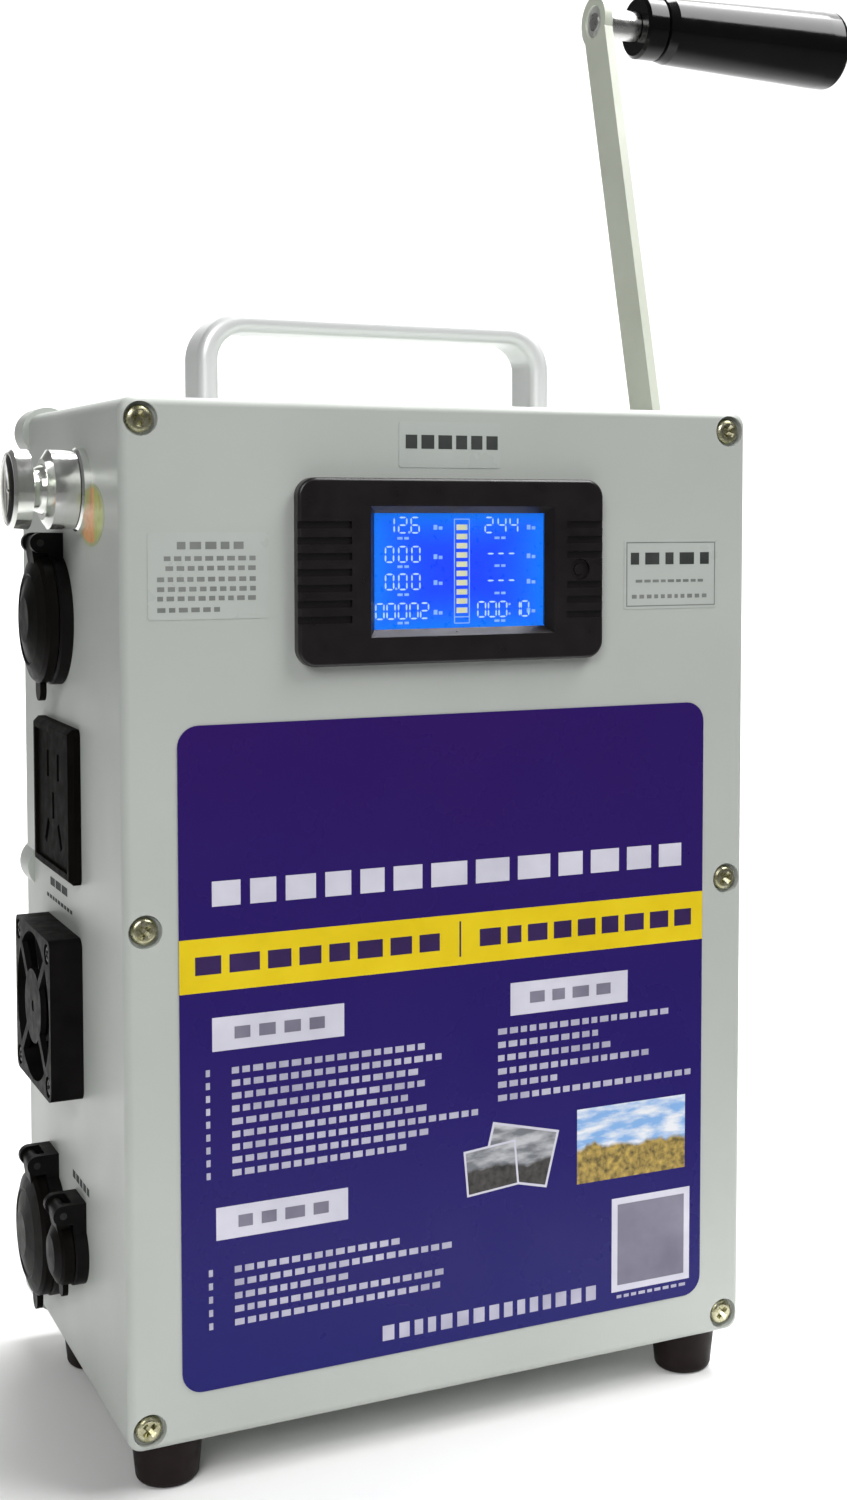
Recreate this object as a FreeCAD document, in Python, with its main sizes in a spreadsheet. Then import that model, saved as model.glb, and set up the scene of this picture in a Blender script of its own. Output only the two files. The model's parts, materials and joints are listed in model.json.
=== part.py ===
import FreeCAD, Part
import math
import os
import Sketcher

# Hand crank generator in a moulded box: a crank on the right wall turns a gear train and a
# generator, which charges the cells at the bottom.  The left wall carries the lamp, the
# outlets and the fan, the front cover carries the meter, and a carry handle sits on top.
#
# Places are given in the case's own frame: x to the right from the middle of the front,
# y backwards from the front face, z up from the underside.  Every piece is modelled with
# its own z axis pointing out of the wall that it sits on, and place() stands it there.

Vector = FreeCAD.Vector
DOCUMENT = FreeCAD.newDocument("crank_generator")

# Driving sizes: (alias, value, what it is).  Millimetres, unless the words say otherwise.
SIZES = [
    ("case_width", 184.0, "case, side to side"),
    ("case_height", 272.0, "case, underside to top"),
    ("case_depth", 118.0, "case, front to back"),
    ("case_wall", 3.0, "moulded wall"),
    ("case_corner", 4.0, "corner radius seen from the front"),
    ("case_inner_corner", 1.2, "corner radius inside"),
    ("case_edge", 2.2, "rounding of the front and back rims"),
    ("lid_depth", 26.0, "front cover, front to parting line"),
    ("screw_inset", 5.6, "cover screw axis from the outside faces"),
    ("pillar", 9.6, "screw pillar diameter"),
    ("lug", 15.0, "rear lug diameter"),
    ("lug_depth", 12.0, "rear lug length along the depth"),
    ("gasket_inset", 0.8, "gasket groove from the outside faces"),
    ("gasket_width", 1.4, "gasket section, width"),
    ("gasket_depth", 1.2, "gasket section, depth"),
    ("lid_screw_head", 7.8, "cover screw head diameter"),
    ("lid_screw_head_tall", 2.0, "cover screw head height"),
    ("lid_screw_sink", 2.4, "counterbore depth"),
    ("lid_screw_play", 0.5, "gap round the head"),
    ("lid_screw", 4.0, "cover screw shank diameter"),
    ("lid_screw_reach", 11.0, "cover screw length past the parting line"),
    ("cut_spare", 1.0, "how far a cut runs on past what it goes through"),
    ("insert", 5.6, "threaded insert outside diameter"),
    ("insert_long", 8.0, "threaded insert length"),
    ("foot_top", 19.0, "foot diameter at the case"),
    ("foot_bottom", 16.8, "foot diameter at the floor"),
    ("foot_tall", 12.5, "foot height"),
    ("foot_round", 2.0, "foot bottom edge radius"),
    ("foot_sink", 7.5, "depth of the screw recess in the foot"),
    ("foot_sink_play", 0.4, "gap round the screw head in the foot"),
    ("foot_inset_side", 13.0, "foot axis from the side faces"),
    ("foot_inset_front", 11.0, "front foot axis from the front face"),
    ("foot_inset_back", 28.0, "rear foot axis from the back face"),
    ("foot_screw", 4.0, "foot screw shank diameter"),
    ("foot_screw_head", 8.0, "foot screw head diameter"),
    ("foot_screw_head_tall", 2.4, "foot screw head height"),
    ("foot_screw_short", 1.0, "foot screw tip below the top of its boss"),
    ("foot_boss", 9.0, "boss for the foot screw, diameter"),
    ("foot_boss_tall", 7.0, "boss for the foot screw, height"),
    ("handle_span", 104.4, "carry handle, leg to leg on centres"),
    ("handle_tall", 28.0, "carry handle height over the top"),
    ("handle_thick", 6.0, "carry handle section, in its own plane"),
    ("handle_deep", 17.0, "carry handle section, front to back"),
    ("handle_round", 2.8, "carry handle section corner radius"),
    ("handle_bend", 11.0, "carry handle bend radius on centre"),
    ("handle_back", 62.0, "carry handle from the front face"),
    ("handle_screw", 4.0, "handle screw shank diameter"),
    ("handle_screw_head", 8.0, "handle screw head diameter"),
    ("handle_screw_head_tall", 2.6, "handle screw head height"),
    ("handle_screw_reach", 10.0, "handle screw length into the leg"),
    ("meter_width", 89.6, "meter bezel width"),
    ("meter_tall", 49.6, "meter bezel height"),
    ("meter_corner", 5.0, "meter bezel corner radius"),
    ("meter_proud", 3.5, "meter bezel thickness"),
    ("meter_edge", 1.0, "meter bezel front edge radius"),
    ("meter_across", -1.3, "meter centre from the middle of the front"),
    ("meter_drop", 44.8, "meter centre below the top"),
    ("tub_width", 85.6, "meter tub width"),
    ("tub_tall", 45.6, "meter tub height"),
    ("tub_deep", 18.0, "meter tub depth behind the front face"),
    ("tub_wall", 1.8, "meter tub wall"),
    ("tub_play", 0.3, "gap round the tub in the cover"),
    ("tub_hole_corner", 1.0, "corner radius of the meter cut-out"),
    ("screen_width", 50.4, "lit screen width"),
    ("screen_tall", 31.0, "lit screen height"),
    ("screen_across", 2.4, "screen centre from the bezel centre"),
    ("screen_bevel", 1.9, "bevel round the screen"),
    ("window_thick", 1.0, "clear window thickness"),
    ("lcd_thick", 3.6, "display module thickness"),
    ("lcd_border", 2.6, "display module border beyond the screen"),
    ("meter_board_thick", 1.6, "meter circuit board thickness"),
    ("groove_pitch", 4.15, "pitch of the meter's side grooves"),
    ("groove_wide", 1.9, "width of a side groove"),
    ("groove_deep", 0.9, "depth of a side groove"),
    ("groove_long_left", 14.8, "length of a left groove"),
    ("groove_long_right", 11.4, "length of a right groove"),
    ("meter_button", 3.0, "meter button diameter"),
    ("meter_button_play", 0.1, "gap round the meter button"),
    ("meter_button_gap", 1.3, "meter button's collar to the side of the tub"),
    ("meter_button_travel", 0.6, "meter button travel"),
    ("meter_button_proud", 0.3, "meter button out of its dish"),
    ("meter_button_rest", 0.2, "pressed meter button to the display module"),
    ("button_collar", 0.8, "meter button collar beyond its stem"),
    ("button_collar_thick", 1.0, "meter button collar thickness"),
    ("button_collar_back", 0.3, "meter button collar behind the front face of the case"),
    ("lamp_y", 39.4, "lamp axis from the front face"),
    ("lamp_drop", 23.2, "lamp axis below the top"),
    ("lamp_flange", 22.4, "lamp flange diameter"),
    ("lamp_barrel", 21.2, "lamp barrel diameter"),
    ("lamp_stem", 12.0, "lamp stem diameter"),
    ("lamp_ball", 6.8, "lamp ball radius"),
    ("lamp_ball_play", 0.15, "gap round the lamp ball"),
    ("lamp_ball_out", 9.0, "lamp ball centre out of the wall"),
    ("lamp_flange_thick", 2.5, "lamp flange thickness"),
    ("lamp_flange_bevel", 0.6, "bevel of the lamp flange"),
    ("lamp_stem_long", 14.0, "lamp stem length inside the face of the wall"),
    ("lamp_spigot", 10.0, "lamp spigot diameter, on which the collar turns"),
    ("lamp_spigot_long", 1.7, "lamp spigot length"),
    ("lamp_wire", 5.0, "wire hole through the lamp"),
    ("lamp_collar_gap", 0.3, "lamp flange to the collar"),
    ("lamp_seat_gap", 0.1, "end of the lamp spigot to the ball's seat"),
    ("lamp_mouth", 1.8, "collar mouth past the ball's middle"),
    ("lamp_mouth_slope", 1.5, "height of the slope round the collar mouth"),
    ("lamp_mouth_width", 2.4, "width of the slope round the collar mouth"),
    ("lamp_ball_flat", 2.6, "flat back of the ball behind its middle"),
    ("lamp_neck", 10.0, "lamp neck diameter"),
    ("lamp_cup_back", 5.8, "back of the lamp cup from the ball centre"),
    ("lamp_cup_out", 10.8, "front of the lamp cup from the ball centre"),
    ("lamp_cup_wall", 1.4, "lamp cup wall"),
    ("lamp_cup_floor", 1.6, "lamp cup floor"),
    ("lamp_cup_bevel", 0.9, "bevel round the lamp cup's mouth"),
    ("led_plate", 1.0, "light's round plate thickness"),
    ("led_chip", 5.2, "light's chip diameter"),
    ("led_rise", 0.7, "light's chip height"),
    ("lamp_lens_rise", 1.2, "rise of the lamp lens"),
    ("lamp_lens_edge", 1.2, "lamp lens edge thickness"),
    ("lamp_nut_flats", 17.0, "lamp nut across flats"),
    ("lamp_nut_thick", 4.0, "lamp nut thickness"),
    ("socket_y_upper", 69.2, "upper outlet axis from the front face"),
    ("socket_rise_upper", 76.7, "upper outlet axis above mid height"),
    ("socket_y_lower", 84.0, "lower outlet axis from the front face"),
    ("socket_z_lower", 32.1, "lower outlet axis above the underside"),
    ("socket_flange", 37.0, "outlet flange diameter"),
    ("socket_flange_thick", 3.6, "outlet flange thickness"),
    ("socket_bevel", 0.6, "bevel of the outlet flange"),
    ("socket_barrel", 28.0, "outlet barrel diameter"),
    ("socket_deep", 42.0, "outlet barrel depth inside the wall"),
    ("socket_bore", 21.0, "outlet bore inside the metal sleeve"),
    ("sleeve_wall", 0.8, "outlet sleeve wall"),
    ("socket_floor", 4.0, "outlet floor thickness"),
    ("socket_well", 18.0, "well at the bottom of an outlet, diameter"),
    ("socket_well_deep", 3.0, "well depth below the metal sleeve"),
    ("sleeve_sink", 0.8, "metal sleeve below the end of the cap's plug"),
    ("socket_play", 0.2, "gap round an outlet barrel in the wall"),
    ("socket_nut", 34.0, "outlet ring nut diameter"),
    ("socket_nut_thick", 6.0, "outlet ring nut thickness"),
    ("centre_rod", 4.0, "outlet centre contact, rod diameter"),
    ("centre_tail", 5.0, "outlet centre contact past the back of the outlet"),
    ("centre_button", 6.4, "outlet centre contact, button diameter"),
    ("centre_button_rim", 1.6, "height of the contact button's straight side"),
    ("centre_button_tall", 2.4, "height of the contact button"),
    ("cap_gap", 0.3, "gap between a cap and its flange"),
    ("cap", 36.0, "outlet cap diameter"),
    ("cap_rim", 3.4, "outlet cap rim thickness"),
    ("cap_dome", 2.6, "rise of the outlet cap dome"),
    ("cap_plug", 19.4, "outlet cap plug diameter"),
    ("cap_plug_deep", 5.6, "outlet cap plug length"),
    ("cap_plug_wall", 1.6, "outlet cap plug wall"),
    ("cap_bevel", 1.0, "bevel round the outlet cap"),
    ("tab_lift", 0.4, "thumb tab above the cap's underside"),
    ("tab_thick", 1.8, "outlet thumb tab thickness"),
    ("tab_wide", 6.0, "outlet thumb tab width"),
    ("tab_long", 5.0, "outlet thumb tab length past the cap"),
    ("hinge_pin", 2.0, "cap hinge pin diameter"),
    ("hinge_play", 0.05, "gap round a hinge pin"),
    ("hinge_width", 12.8, "cap hinge width over the ears"),
    ("hinge_ear", 2.2, "cap hinge ear thickness"),
    ("hinge_side_gap", 0.2, "gap between ear and lug"),
    ("hinge_lug", 2.1, "cap hinge lug radius"),
    ("hinge_ear_radius", 2.8, "cap hinge ear radius"),
    ("hinge_ear_root", 0.5, "root of a hinge ear in the flange"),
    ("hinge_past_cap", 3.5, "outlet hinge pin above the cap edge"),
    ("hinge_out", 6.3, "outlet hinge pin out of the wall"),
    ("charge_y", 50.5, "charge socket axis from the front face"),
    ("charge_z", 37.4, "charge socket axis above the underside"),
    ("charge_flange", 18.6, "charge socket flange diameter"),
    ("charge_flange_thick", 3.6, "charge socket flange thickness"),
    ("charge_bevel", 0.4, "bevel of the charge socket flange"),
    ("charge_floor", 3.0, "charge socket floor thickness"),
    ("charge_barrel", 11.0, "charge socket barrel diameter"),
    ("charge_deep", 14.0, "charge socket depth inside the wall"),
    ("charge_bore", 5.6, "charge socket bore"),
    ("charge_pin", 2.1, "charge socket centre pin"),
    ("charge_pin_point", 0.5, "length of the pin's tapered point"),
    ("charge_pin_tail", 3.0, "centre pin past the back of the charge socket"),
    ("charge_cap", 17.6, "charge cap diameter"),
    ("charge_cap_bevel", 0.8, "bevel round the charge cap"),
    ("charge_cap_step", 1.4, "height of the charge cap's crown at its edge"),
    ("charge_cap_crown", 1.8, "height of the charge cap's crown"),
    ("charge_plug_play", 0.5, "gap round the charge cap's plug"),
    ("charge_plug_wall", 0.8, "charge cap plug wall"),
    ("charge_plug_deep", 1.2, "charge cap plug length"),
    ("charge_tab_thick", 1.6, "charge thumb tab thickness"),
    ("charge_tab_wide", 5.0, "charge thumb tab width"),
    ("charge_tab_long", 3.6, "charge thumb tab length past the cap"),
    ("charge_nut_flats", 14.0, "charge socket nut across flats"),
    ("charge_nut_thick", 3.0, "charge socket nut thickness"),
    ("mains_y", 68.0, "mains outlet centre from the front face"),
    ("mains_rise", 26.0, "mains outlet centre above mid height"),
    ("mains_width", 46.0, "mains outlet bezel, front to back"),
    ("mains_tall", 43.0, "mains outlet bezel height"),
    ("mains_proud", 3.3, "mains outlet bezel thickness"),
    ("mains_bevel", 1.4, "mains outlet bezel bevel"),
    ("mains_corner", 2.0, "mains outlet bezel corner radius"),
    ("mains_border", 1.6, "flat border of the mains outlet bezel"),
    ("mains_inset", 0.8, "depth of the mains outlet face behind its border"),
    ("mains_inset_corner", 1.0, "corner radius of the mains outlet face"),
    ("mains_body_width", 40.0, "mains outlet body width behind the wall"),
    ("mains_body_tall", 37.0, "mains outlet body height behind the wall"),
    ("mains_deep", 24.0, "mains outlet body depth"),
    ("mains_floor", 4.0, "mains outlet floor thickness"),
    ("flat_pin_aside", 6.35, "upper mains slots from the middle"),
    ("flat_pin_up", 9.2, "upper mains slots above the middle"),
    ("earth_pin_down", 2.2, "earth slot below the middle"),
    ("slant_pin_aside", 7.9, "lower mains slots from the middle"),
    ("slant_pin_down", 10.2, "lower mains slots below the middle"),
    ("slot_wide", 2.6, "mains slot width"),
    ("slot_long", 7.6, "mains slot length"),
    ("contact_thick", 0.9, "mains contact thickness"),
    ("contact_deep", 9.0, "mains contact depth"),
    ("fan_y", 67.8, "fan centre from the front face"),
    ("fan_drop", 32.8, "fan centre below mid height"),
    ("fan_side", 45.0, "fan frame side"),
    ("fan_thick", 9.0, "fan frame thickness"),
    ("fan_corner", 3.0, "fan frame corner radius"),
    ("fan_duct", 42.0, "fan duct diameter"),
    ("fan_hole_ledge", 1.5, "wall left standing inside the fan duct"),
    ("fan_hub", 21.0, "fan hub diameter"),
    ("fan_guard_thick", 1.6, "fan strut thickness"),
    ("fan_strut", 2.6, "fan strut width"),
    ("fan_strut_root", 0.6, "root of a fan strut in the frame"),
    ("fan_hub_gap", 0.3, "fan rotor hub smaller than the hub plate, on radius"),
    ("fan_hub_bevel", 0.8, "bevel of the fan rotor hub"),
    ("fan_wall_gap", 0.9, "fan rotor to the case wall"),
    ("fan_guard_gap", 0.8, "fan rotor to its struts"),
    ("fan_shaft_sink", 0.3, "fan shaft end below the hub plate's face"),
    ("fan_blade_thick", 1.1, "fan blade thickness along the turn"),
    ("fan_blade_root", 5.2, "fan blade run along the turn at the hub"),
    ("fan_blade_tip", 9.8, "fan blade run along the turn at the tip"),
    ("fan_blade_low", 0.2, "fan blade from the hub's inner face"),
    ("fan_blade_high", 0.4, "fan blade from the hub's outer face"),
    ("fan_tip", 19.3, "fan blade tip radius at mid chord"),
    ("fan_shaft", 3.0, "fan shaft diameter"),
    ("fan_screw_pitch", 37.0, "fan screw pitch"),
    ("fan_screw", 3.0, "fan screw shank diameter"),
    ("fan_screw_head", 5.5, "fan screw head diameter"),
    ("fan_screw_play", 0.2, "gap round a fan screw head"),
    ("fan_screw_sink", 2.2, "fan screw counterbore depth"),
    ("fan_screw_low", 0.2, "top of a fan screw head below the frame's face"),
    ("shaft_play", 0.05, "running gap round a shaft, on radius"),
    ("crank_y", 60.0, "crank axle from the front face"),
    ("crank_drop", 52.5, "crank axle below the top"),
    ("crank_lean", 14.7, "crank arm lean backwards from upright, degrees"),
    ("crank_length", 195.0, "crank axle to grip axis"),
    ("crank_shaft", 10.0, "crank shaft diameter"),
    ("crank_spigot", 8.0, "crank shaft spigot in the arm"),
    ("crank_shaft_end", 1.0, "crank shaft past the inner gearbox plate"),
    ("bearing_flange", 30.0, "crank bearing flange diameter"),
    ("bearing_thick", 4.0, "crank bearing flange thickness"),
    ("bearing_bevel", 1.0, "bevel of the crank bearing flange"),
    ("bearing_barrel", 18.0, "crank bearing barrel diameter"),
    ("bearing_deep", 8.0, "crank bearing barrel length inside the face of the wall"),
    ("bearing_screw", 3.0, "bearing screw shank diameter"),
    ("bearing_screw_head", 5.6, "bearing screw head diameter"),
    ("bearing_screw_head_tall", 2.0, "bearing screw head height"),
    ("bearing_screw_edge", 0.6, "height of the bearing screw head's bevel"),
    ("bearing_screw_slope", 0.8, "width of the bearing screw head's bevel"),
    ("bearing_screw_ring", 12.0, "bearing screw axis from the crank axle"),
    ("arm_out", 7.0, "inside face of the crank arm out of the wall"),
    ("arm_width", 14.4, "crank arm width"),
    ("arm_thick", 3.0, "crank arm thickness"),
    ("arm_hub_radius", 11.0, "crank arm end radius at the axle"),
    ("arm_eye_radius", 8.6, "crank arm end radius at the grip"),
    ("crank_bolt", 5.0, "crank bolt shank diameter"),
    ("crank_bolt_head", 13.0, "crank bolt head across flats"),
    ("crank_bolt_head_thick", 5.0, "crank bolt head thickness"),
    ("crank_bolt_long", 13.0, "crank bolt length in the shaft past the arm"),
    ("spindle", 8.0, "grip spindle diameter"),
    ("spindle_shoulder", 10.0, "grip spindle shoulder diameter"),
    ("spindle_stub", 6.0, "grip spindle stub through the arm"),
    ("spindle_head", 12.0, "grip spindle head diameter"),
    ("spindle_head_thick", 2.6, "grip spindle head thickness"),
    ("spindle_head_bevel", 0.8, "bevel of the grip spindle head"),
    ("grip_end_gap", 0.3, "end play of the grip on its spindle, each end"),
    ("eye_mouth", 11.0, "countersink in the arm's eye, diameter at the face"),
    ("eye_throat", 8.4, "countersink in the arm's eye, diameter at its floor"),
    ("eye_deep", 1.9, "countersink depth"),
    ("eye_sink", 0.5, "face of the sunk nut below the face of the arm"),
    ("eye_stub_sink", 0.2, "end of the spindle below the face of the arm"),
    ("grip_gap", 13.2, "arm to grip"),
    ("grip_long", 80.0, "grip length"),
    ("grip_small", 21.0, "grip diameter at the arm"),
    ("grip_large", 27.0, "grip diameter at the free end"),
    ("grip_collar", 8.8, "grip collar length"),
    ("grip_round", 2.4, "grip end edge radius"),
    ("grip_bevel", 1.0, "bevel of the grip at the arm"),
    ("grip_groove_wide", 1.2, "groove behind the grip's collar, width"),
    ("grip_groove_deep", 0.9, "groove behind the grip's collar, depth"),
    ("grip_step", 0.8, "grip past its collar, thicker by this on radius"),
    ("grip_step_long", 3.0, "length of the slope past the collar"),
    ("grip_sink", 5.0, "recess for the spindle head"),
    ("grip_sink_play", 0.5, "gap round the spindle head"),
    ("frame_plate", 2.0, "gearbox plate thickness"),
    ("frame_front", 27.0, "gearbox plate edge from the front face"),
    ("frame_back", 95.0, "gearbox web from the front face"),
    ("frame_below_rotor", 33.5, "inner gearbox plate below the rotor axis"),
    ("frame_lug_gap", 2.5, "outer gearbox plate and web above the middle lug"),
    ("frame_above_crank", 32.5, "gearbox plates above the crank axle"),
    ("frame_gap", 27.0, "space between the gearbox plates"),
    ("gear_module", 1.25, "gear module"),
    ("gear_pressure", 25.0, "gear pressure angle, degrees"),
    ("gear_backlash", 0.16, "thinning of each tooth"),
    ("gear_side_gap", 4.0, "crank bearing to the drive gear"),
    ("drive_hub", 20.0, "drive gear hub diameter"),
    ("drive_hub_rise", 2.0, "drive gear hub past its face"),
    ("wheel_window", 9.0, "round windows in the drive gear"),
    ("wheel_window_ring", 19.0, "window axes from the crank axle"),
    ("idler_hub", 9.6, "idler hub diameter"),
    ("idler_step", 3.0, "idler pinion to idler wheel"),
    ("idler_side_gap", 0.3, "idler hub to each gearbox plate"),
    ("gear_face", 6.0, "drive and idler gear face width"),
    ("pinion_face", 8.0, "pinion face width"),
    ("idler_shaft", 6.0, "idler shaft diameter"),
    ("rotor_shaft", 5.0, "rotor shaft diameter"),
    ("rotor", 39.0, "rotor diameter"),
    ("rotor_long", 28.0, "rotor length"),
    ("rotor_gap", 0.6, "air gap round the rotor"),
    ("rotor_shaft_reach", 12.0, "rotor shaft past the gearbox plate"),
    ("rotor_shaft_tail", 1.5, "rotor shaft past the back of the generator"),
    ("can", 60.0, "generator housing diameter"),
    ("can_long", 40.0, "generator housing length"),
    ("can_wall", 2.0, "generator housing wall"),
    ("cell", 18.4, "cell diameter"),
    ("cell_long", 65.0, "cell length"),
    ("cell_nub", 6.0, "cell end contact diameter"),
    ("cell_nub_tall", 1.2, "cell end contact height"),
    ("cell_pitch", 19.4, "cell pitch in the pack"),
    ("pack_gap", 0.7, "cell tray to the right foot boss"),
    ("pack_y", 70.0, "cell pack centre from the front face"),
    ("tray_wall", 1.6, "cell tray wall"),
    ("tray_tall", 16.0, "cell tray height"),
    ("tray_corner", 2.0, "cell tray corner radius"),
    ("standoff_tall", 6.0, "board standoff height"),
    ("standoff", 6.0, "board standoff diameter"),
    ("board_thick", 1.6, "circuit board thickness"),
    ("board_hole", 3.2, "screw hole of a circuit board"),
    ("board_gap", 0.9, "inverter board to the middle left lug"),
    ("board_low", 85.0, "lower edge of the inverter board"),
    ("board_width", 88.0, "inverter board width"),
    ("charger_above", 13.0, "charge board above the inverter board"),
    ("charger_drop", 46.0, "charge board centre below the top"),
    ("charger_width", 60.0, "charge board width"),
    ("charger_tall", 44.0, "charge board height"),
    ("standoff_inset", 5.0, "standoff from the board's edges"),
    ("sink_width", 70.0, "heat sink width"),
    ("sink_tall", 40.0, "heat sink height"),
    ("sink_deep", 24.0, "heat sink depth"),
    ("sink_base", 4.0, "heat sink base thickness"),
    ("sink_fin", 1.8, "heat sink fin thickness"),
]

SHEET = DOCUMENT.addObject("Spreadsheet::Sheet", "Sizes")
for row, (alias, value, meaning) in enumerate(SIZES, start=1):
    SHEET.set(f"A{row}", meaning)
    SHEET.set(f"B{row}", str(value))
    SHEET.setAlias(f"B{row}", alias)
DOCUMENT.recompute()


class Size:
    """A value together with the sheet formula that it comes from."""

    def __init__(self, value, formula):
        self.value = float(value)
        self.formula = formula

    def __add__(self, other):
        other = size(other)
        return Size(self.value + other.value, f"({self.formula} + {other.formula})")

    def __radd__(self, other):
        return size(other) + self

    def __sub__(self, other):
        other = size(other)
        return Size(self.value - other.value, f"({self.formula} - {other.formula})")

    def __rsub__(self, other):
        return size(other) - self

    def __mul__(self, other):
        other = size(other)
        return Size(self.value * other.value, f"({self.formula} * {other.formula})")

    def __rmul__(self, other):
        return size(other) * self

    def __truediv__(self, other):
        other = size(other)
        return Size(self.value / other.value, f"({self.formula} / {other.formula})")

    def __neg__(self):
        return Size(-self.value, f"(-{self.formula})")


def size(value):
    """Turn a plain number into a Size; a Size stays as it is."""
    if isinstance(value, Size):
        return value
    return Size(value, f"({float(value)!r})")


def sine(angle):
    return Size(math.sin(math.radians(angle.value)), f"sin({angle.formula} * 1 deg)")


def cosine(angle):
    return Size(math.cos(math.radians(angle.value)), f"cos({angle.formula} * 1 deg)")


def root(square):
    return Size(math.sqrt(square.value), f"sqrt({square.formula})")


class Sheet:
    """Gives each alias of the sheet as a Size."""

    def __getattr__(self, alias):
        return Size(SHEET.get(alias), f"Sizes.{alias}")


dim = Sheet()


# ---------------------------------------------------------------- sketch and feature helpers

def new_body(name):
    body = DOCUMENT.addObject("PartDesign::Body", name)
    body.Label = name
    return body


def sketch_on(body, plane, offset=0.0):
    """A sketch on one of the body's origin planes, moved along that plane's normal."""
    sketch = body.newObject("Sketcher::SketchObject", "Sketch")
    role = plane + "_Plane"
    base = next(feature for feature in body.Origin.OriginFeatures if feature.Role == role)
    sketch.AttachmentSupport = [(base, "")]
    sketch.MapMode = "FlatFace"
    sketch.setExpression("AttachmentOffset.Base.z", size(offset).formula)
    return sketch


def tie(sketch, constraint, formula):
    index = sketch.addConstraint(constraint)
    sketch.setExpression(f"Constraints[{index}]", formula)


def pin(sketch, curve, point, x, y):
    """Hold one point of a curve at x, y from the sketch's origin."""
    for kind, distance in (("DistanceX", size(x)), ("DistanceY", size(y))):
        tie(sketch, Sketcher.Constraint(kind, -1, 1, curve, point, distance.value),
            distance.formula)


def circle(sketch, x, y, diameter):
    x, y, diameter = size(x), size(y), size(diameter)
    centre = Vector(x.value, y.value, 0)
    curve = sketch.addGeometry(Part.Circle(centre, Vector(0, 0, 1), diameter.value / 2), False)
    pin(sketch, curve, 3, x, y)
    tie(sketch, Sketcher.Constraint("Diameter", curve, diameter.value), diameter.formula)


def arc_between(start, end, radius):
    """The short arc from start to end; it turns left for a positive radius."""
    chord = end - start
    middle = (start + end) * 0.5
    rise = math.sqrt(max(radius ** 2 - (chord.Length / 2) ** 2, 0.0))
    left = Vector(-chord.y, chord.x, 0).normalize()
    centre = middle + left * math.copysign(rise, radius)
    first, last = (start, end) if radius > 0 else (end, start)
    angles = [math.atan2(point.y - centre.y, point.x - centre.x) for point in (first, last)]
    if angles[1] < angles[0]:
        angles[1] += 2 * math.pi
    whole = Part.Circle(centre, Vector(0, 0, 1), abs(radius))
    return Part.ArcOfCircle(whole, angles[0], angles[1])


def outline(sketch, corners):
    """A closed outline.  A corner is (x, y), or (x, y, radius) when an arc leaves it."""
    points = [(size(corner[0]), size(corner[1])) for corner in corners]
    radii = [size(corner[2]) if len(corner) > 2 else None for corner in corners]
    places = [Vector(x.value, y.value, 0) for x, y in points]
    ends = []
    for index, (place_here, radius) in enumerate(zip(places, radii)):
        place_next = places[(index + 1) % len(places)]
        if radius is None:
            curve = sketch.addGeometry(Part.LineSegment(place_here, place_next), False)
            ends.append((curve, 1, 2))
        else:
            arc = arc_between(place_here, place_next, radius.value)
            curve = sketch.addGeometry(arc, False)
            ends.append((curve, 1, 2) if radius.value > 0 else (curve, 2, 1))
    for index, (curve, start, end) in enumerate(ends):
        follower, follower_start, _ = ends[(index + 1) % len(ends)]
        joint = Sketcher.Constraint("Coincident", curve, end, follower, follower_start)
        sketch.addConstraint(joint)
        pin(sketch, curve, start, *points[index])
        if radii[index] is not None:
            radius = radii[index] if radii[index].value > 0 else -radii[index]
            tie(sketch, Sketcher.Constraint("Radius", curve, radius.value), radius.formula)


def rounded_rectangle(sketch, x, y, width, height, radius):
    left, right = x - size(width) / 2, x + size(width) / 2
    low, high = y - size(height) / 2, y + size(height) / 2
    outline(sketch, [
        (left + radius, low), (right - radius, low, radius),
        (right, low + radius), (right, high - radius, radius),
        (right - radius, high), (left + radius, high, radius),
        (left, high - radius), (left, low + radius, radius),
    ])


def bar(sketch, x, y, width, length, turn=0.0, aside=0.0):
    """A rectangle about x, y, turned by turn degrees; aside shifts it across its width."""
    cos_turn, sin_turn = math.cos(math.radians(turn)), math.sin(math.radians(turn))
    corners = []
    for across, along in ((-1, -1), (1, -1), (1, 1), (-1, 1)):
        u = size(width) / 2 * across + aside
        v = size(length) / 2 * along
        corners.append((x + u * cos_turn - v * sin_turn, y + u * sin_turn + v * cos_turn))
    outline(sketch, corners)


def hexagon(sketch, across_flats):
    corner = size(across_flats) / math.sqrt(3)
    angles = [math.radians(60 * index) for index in range(6)]
    outline(sketch, [(corner * math.cos(angle), corner * math.sin(angle)) for angle in angles])


def extrude(kind, body, sketch, length, reverse):
    feature = body.newObject(kind, kind.split("::")[1])
    feature.Profile = sketch
    feature.Reversed = reverse
    feature.setExpression("Length", size(length).formula)
    return feature


def pad(body, sketch, length, reverse=False):
    """Add material along the sketch's normal."""
    return extrude("PartDesign::Pad", body, sketch, length, reverse)


def pocket(body, sketch, length, reverse=False):
    """Remove material against the sketch's normal."""
    return extrude("PartDesign::Pocket", body, sketch, length, reverse)


def revolve(body, corners):
    """Turn a profile of (radius, height) corners about the body's z axis."""
    sketch = sketch_on(body, "XZ")
    outline(sketch, corners)
    feature = body.newObject("PartDesign::Revolution", "Revolution")
    feature.Profile = sketch
    feature.ReferenceAxis = (sketch, ["V_Axis"])
    feature.Angle = 360
    return feature


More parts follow.
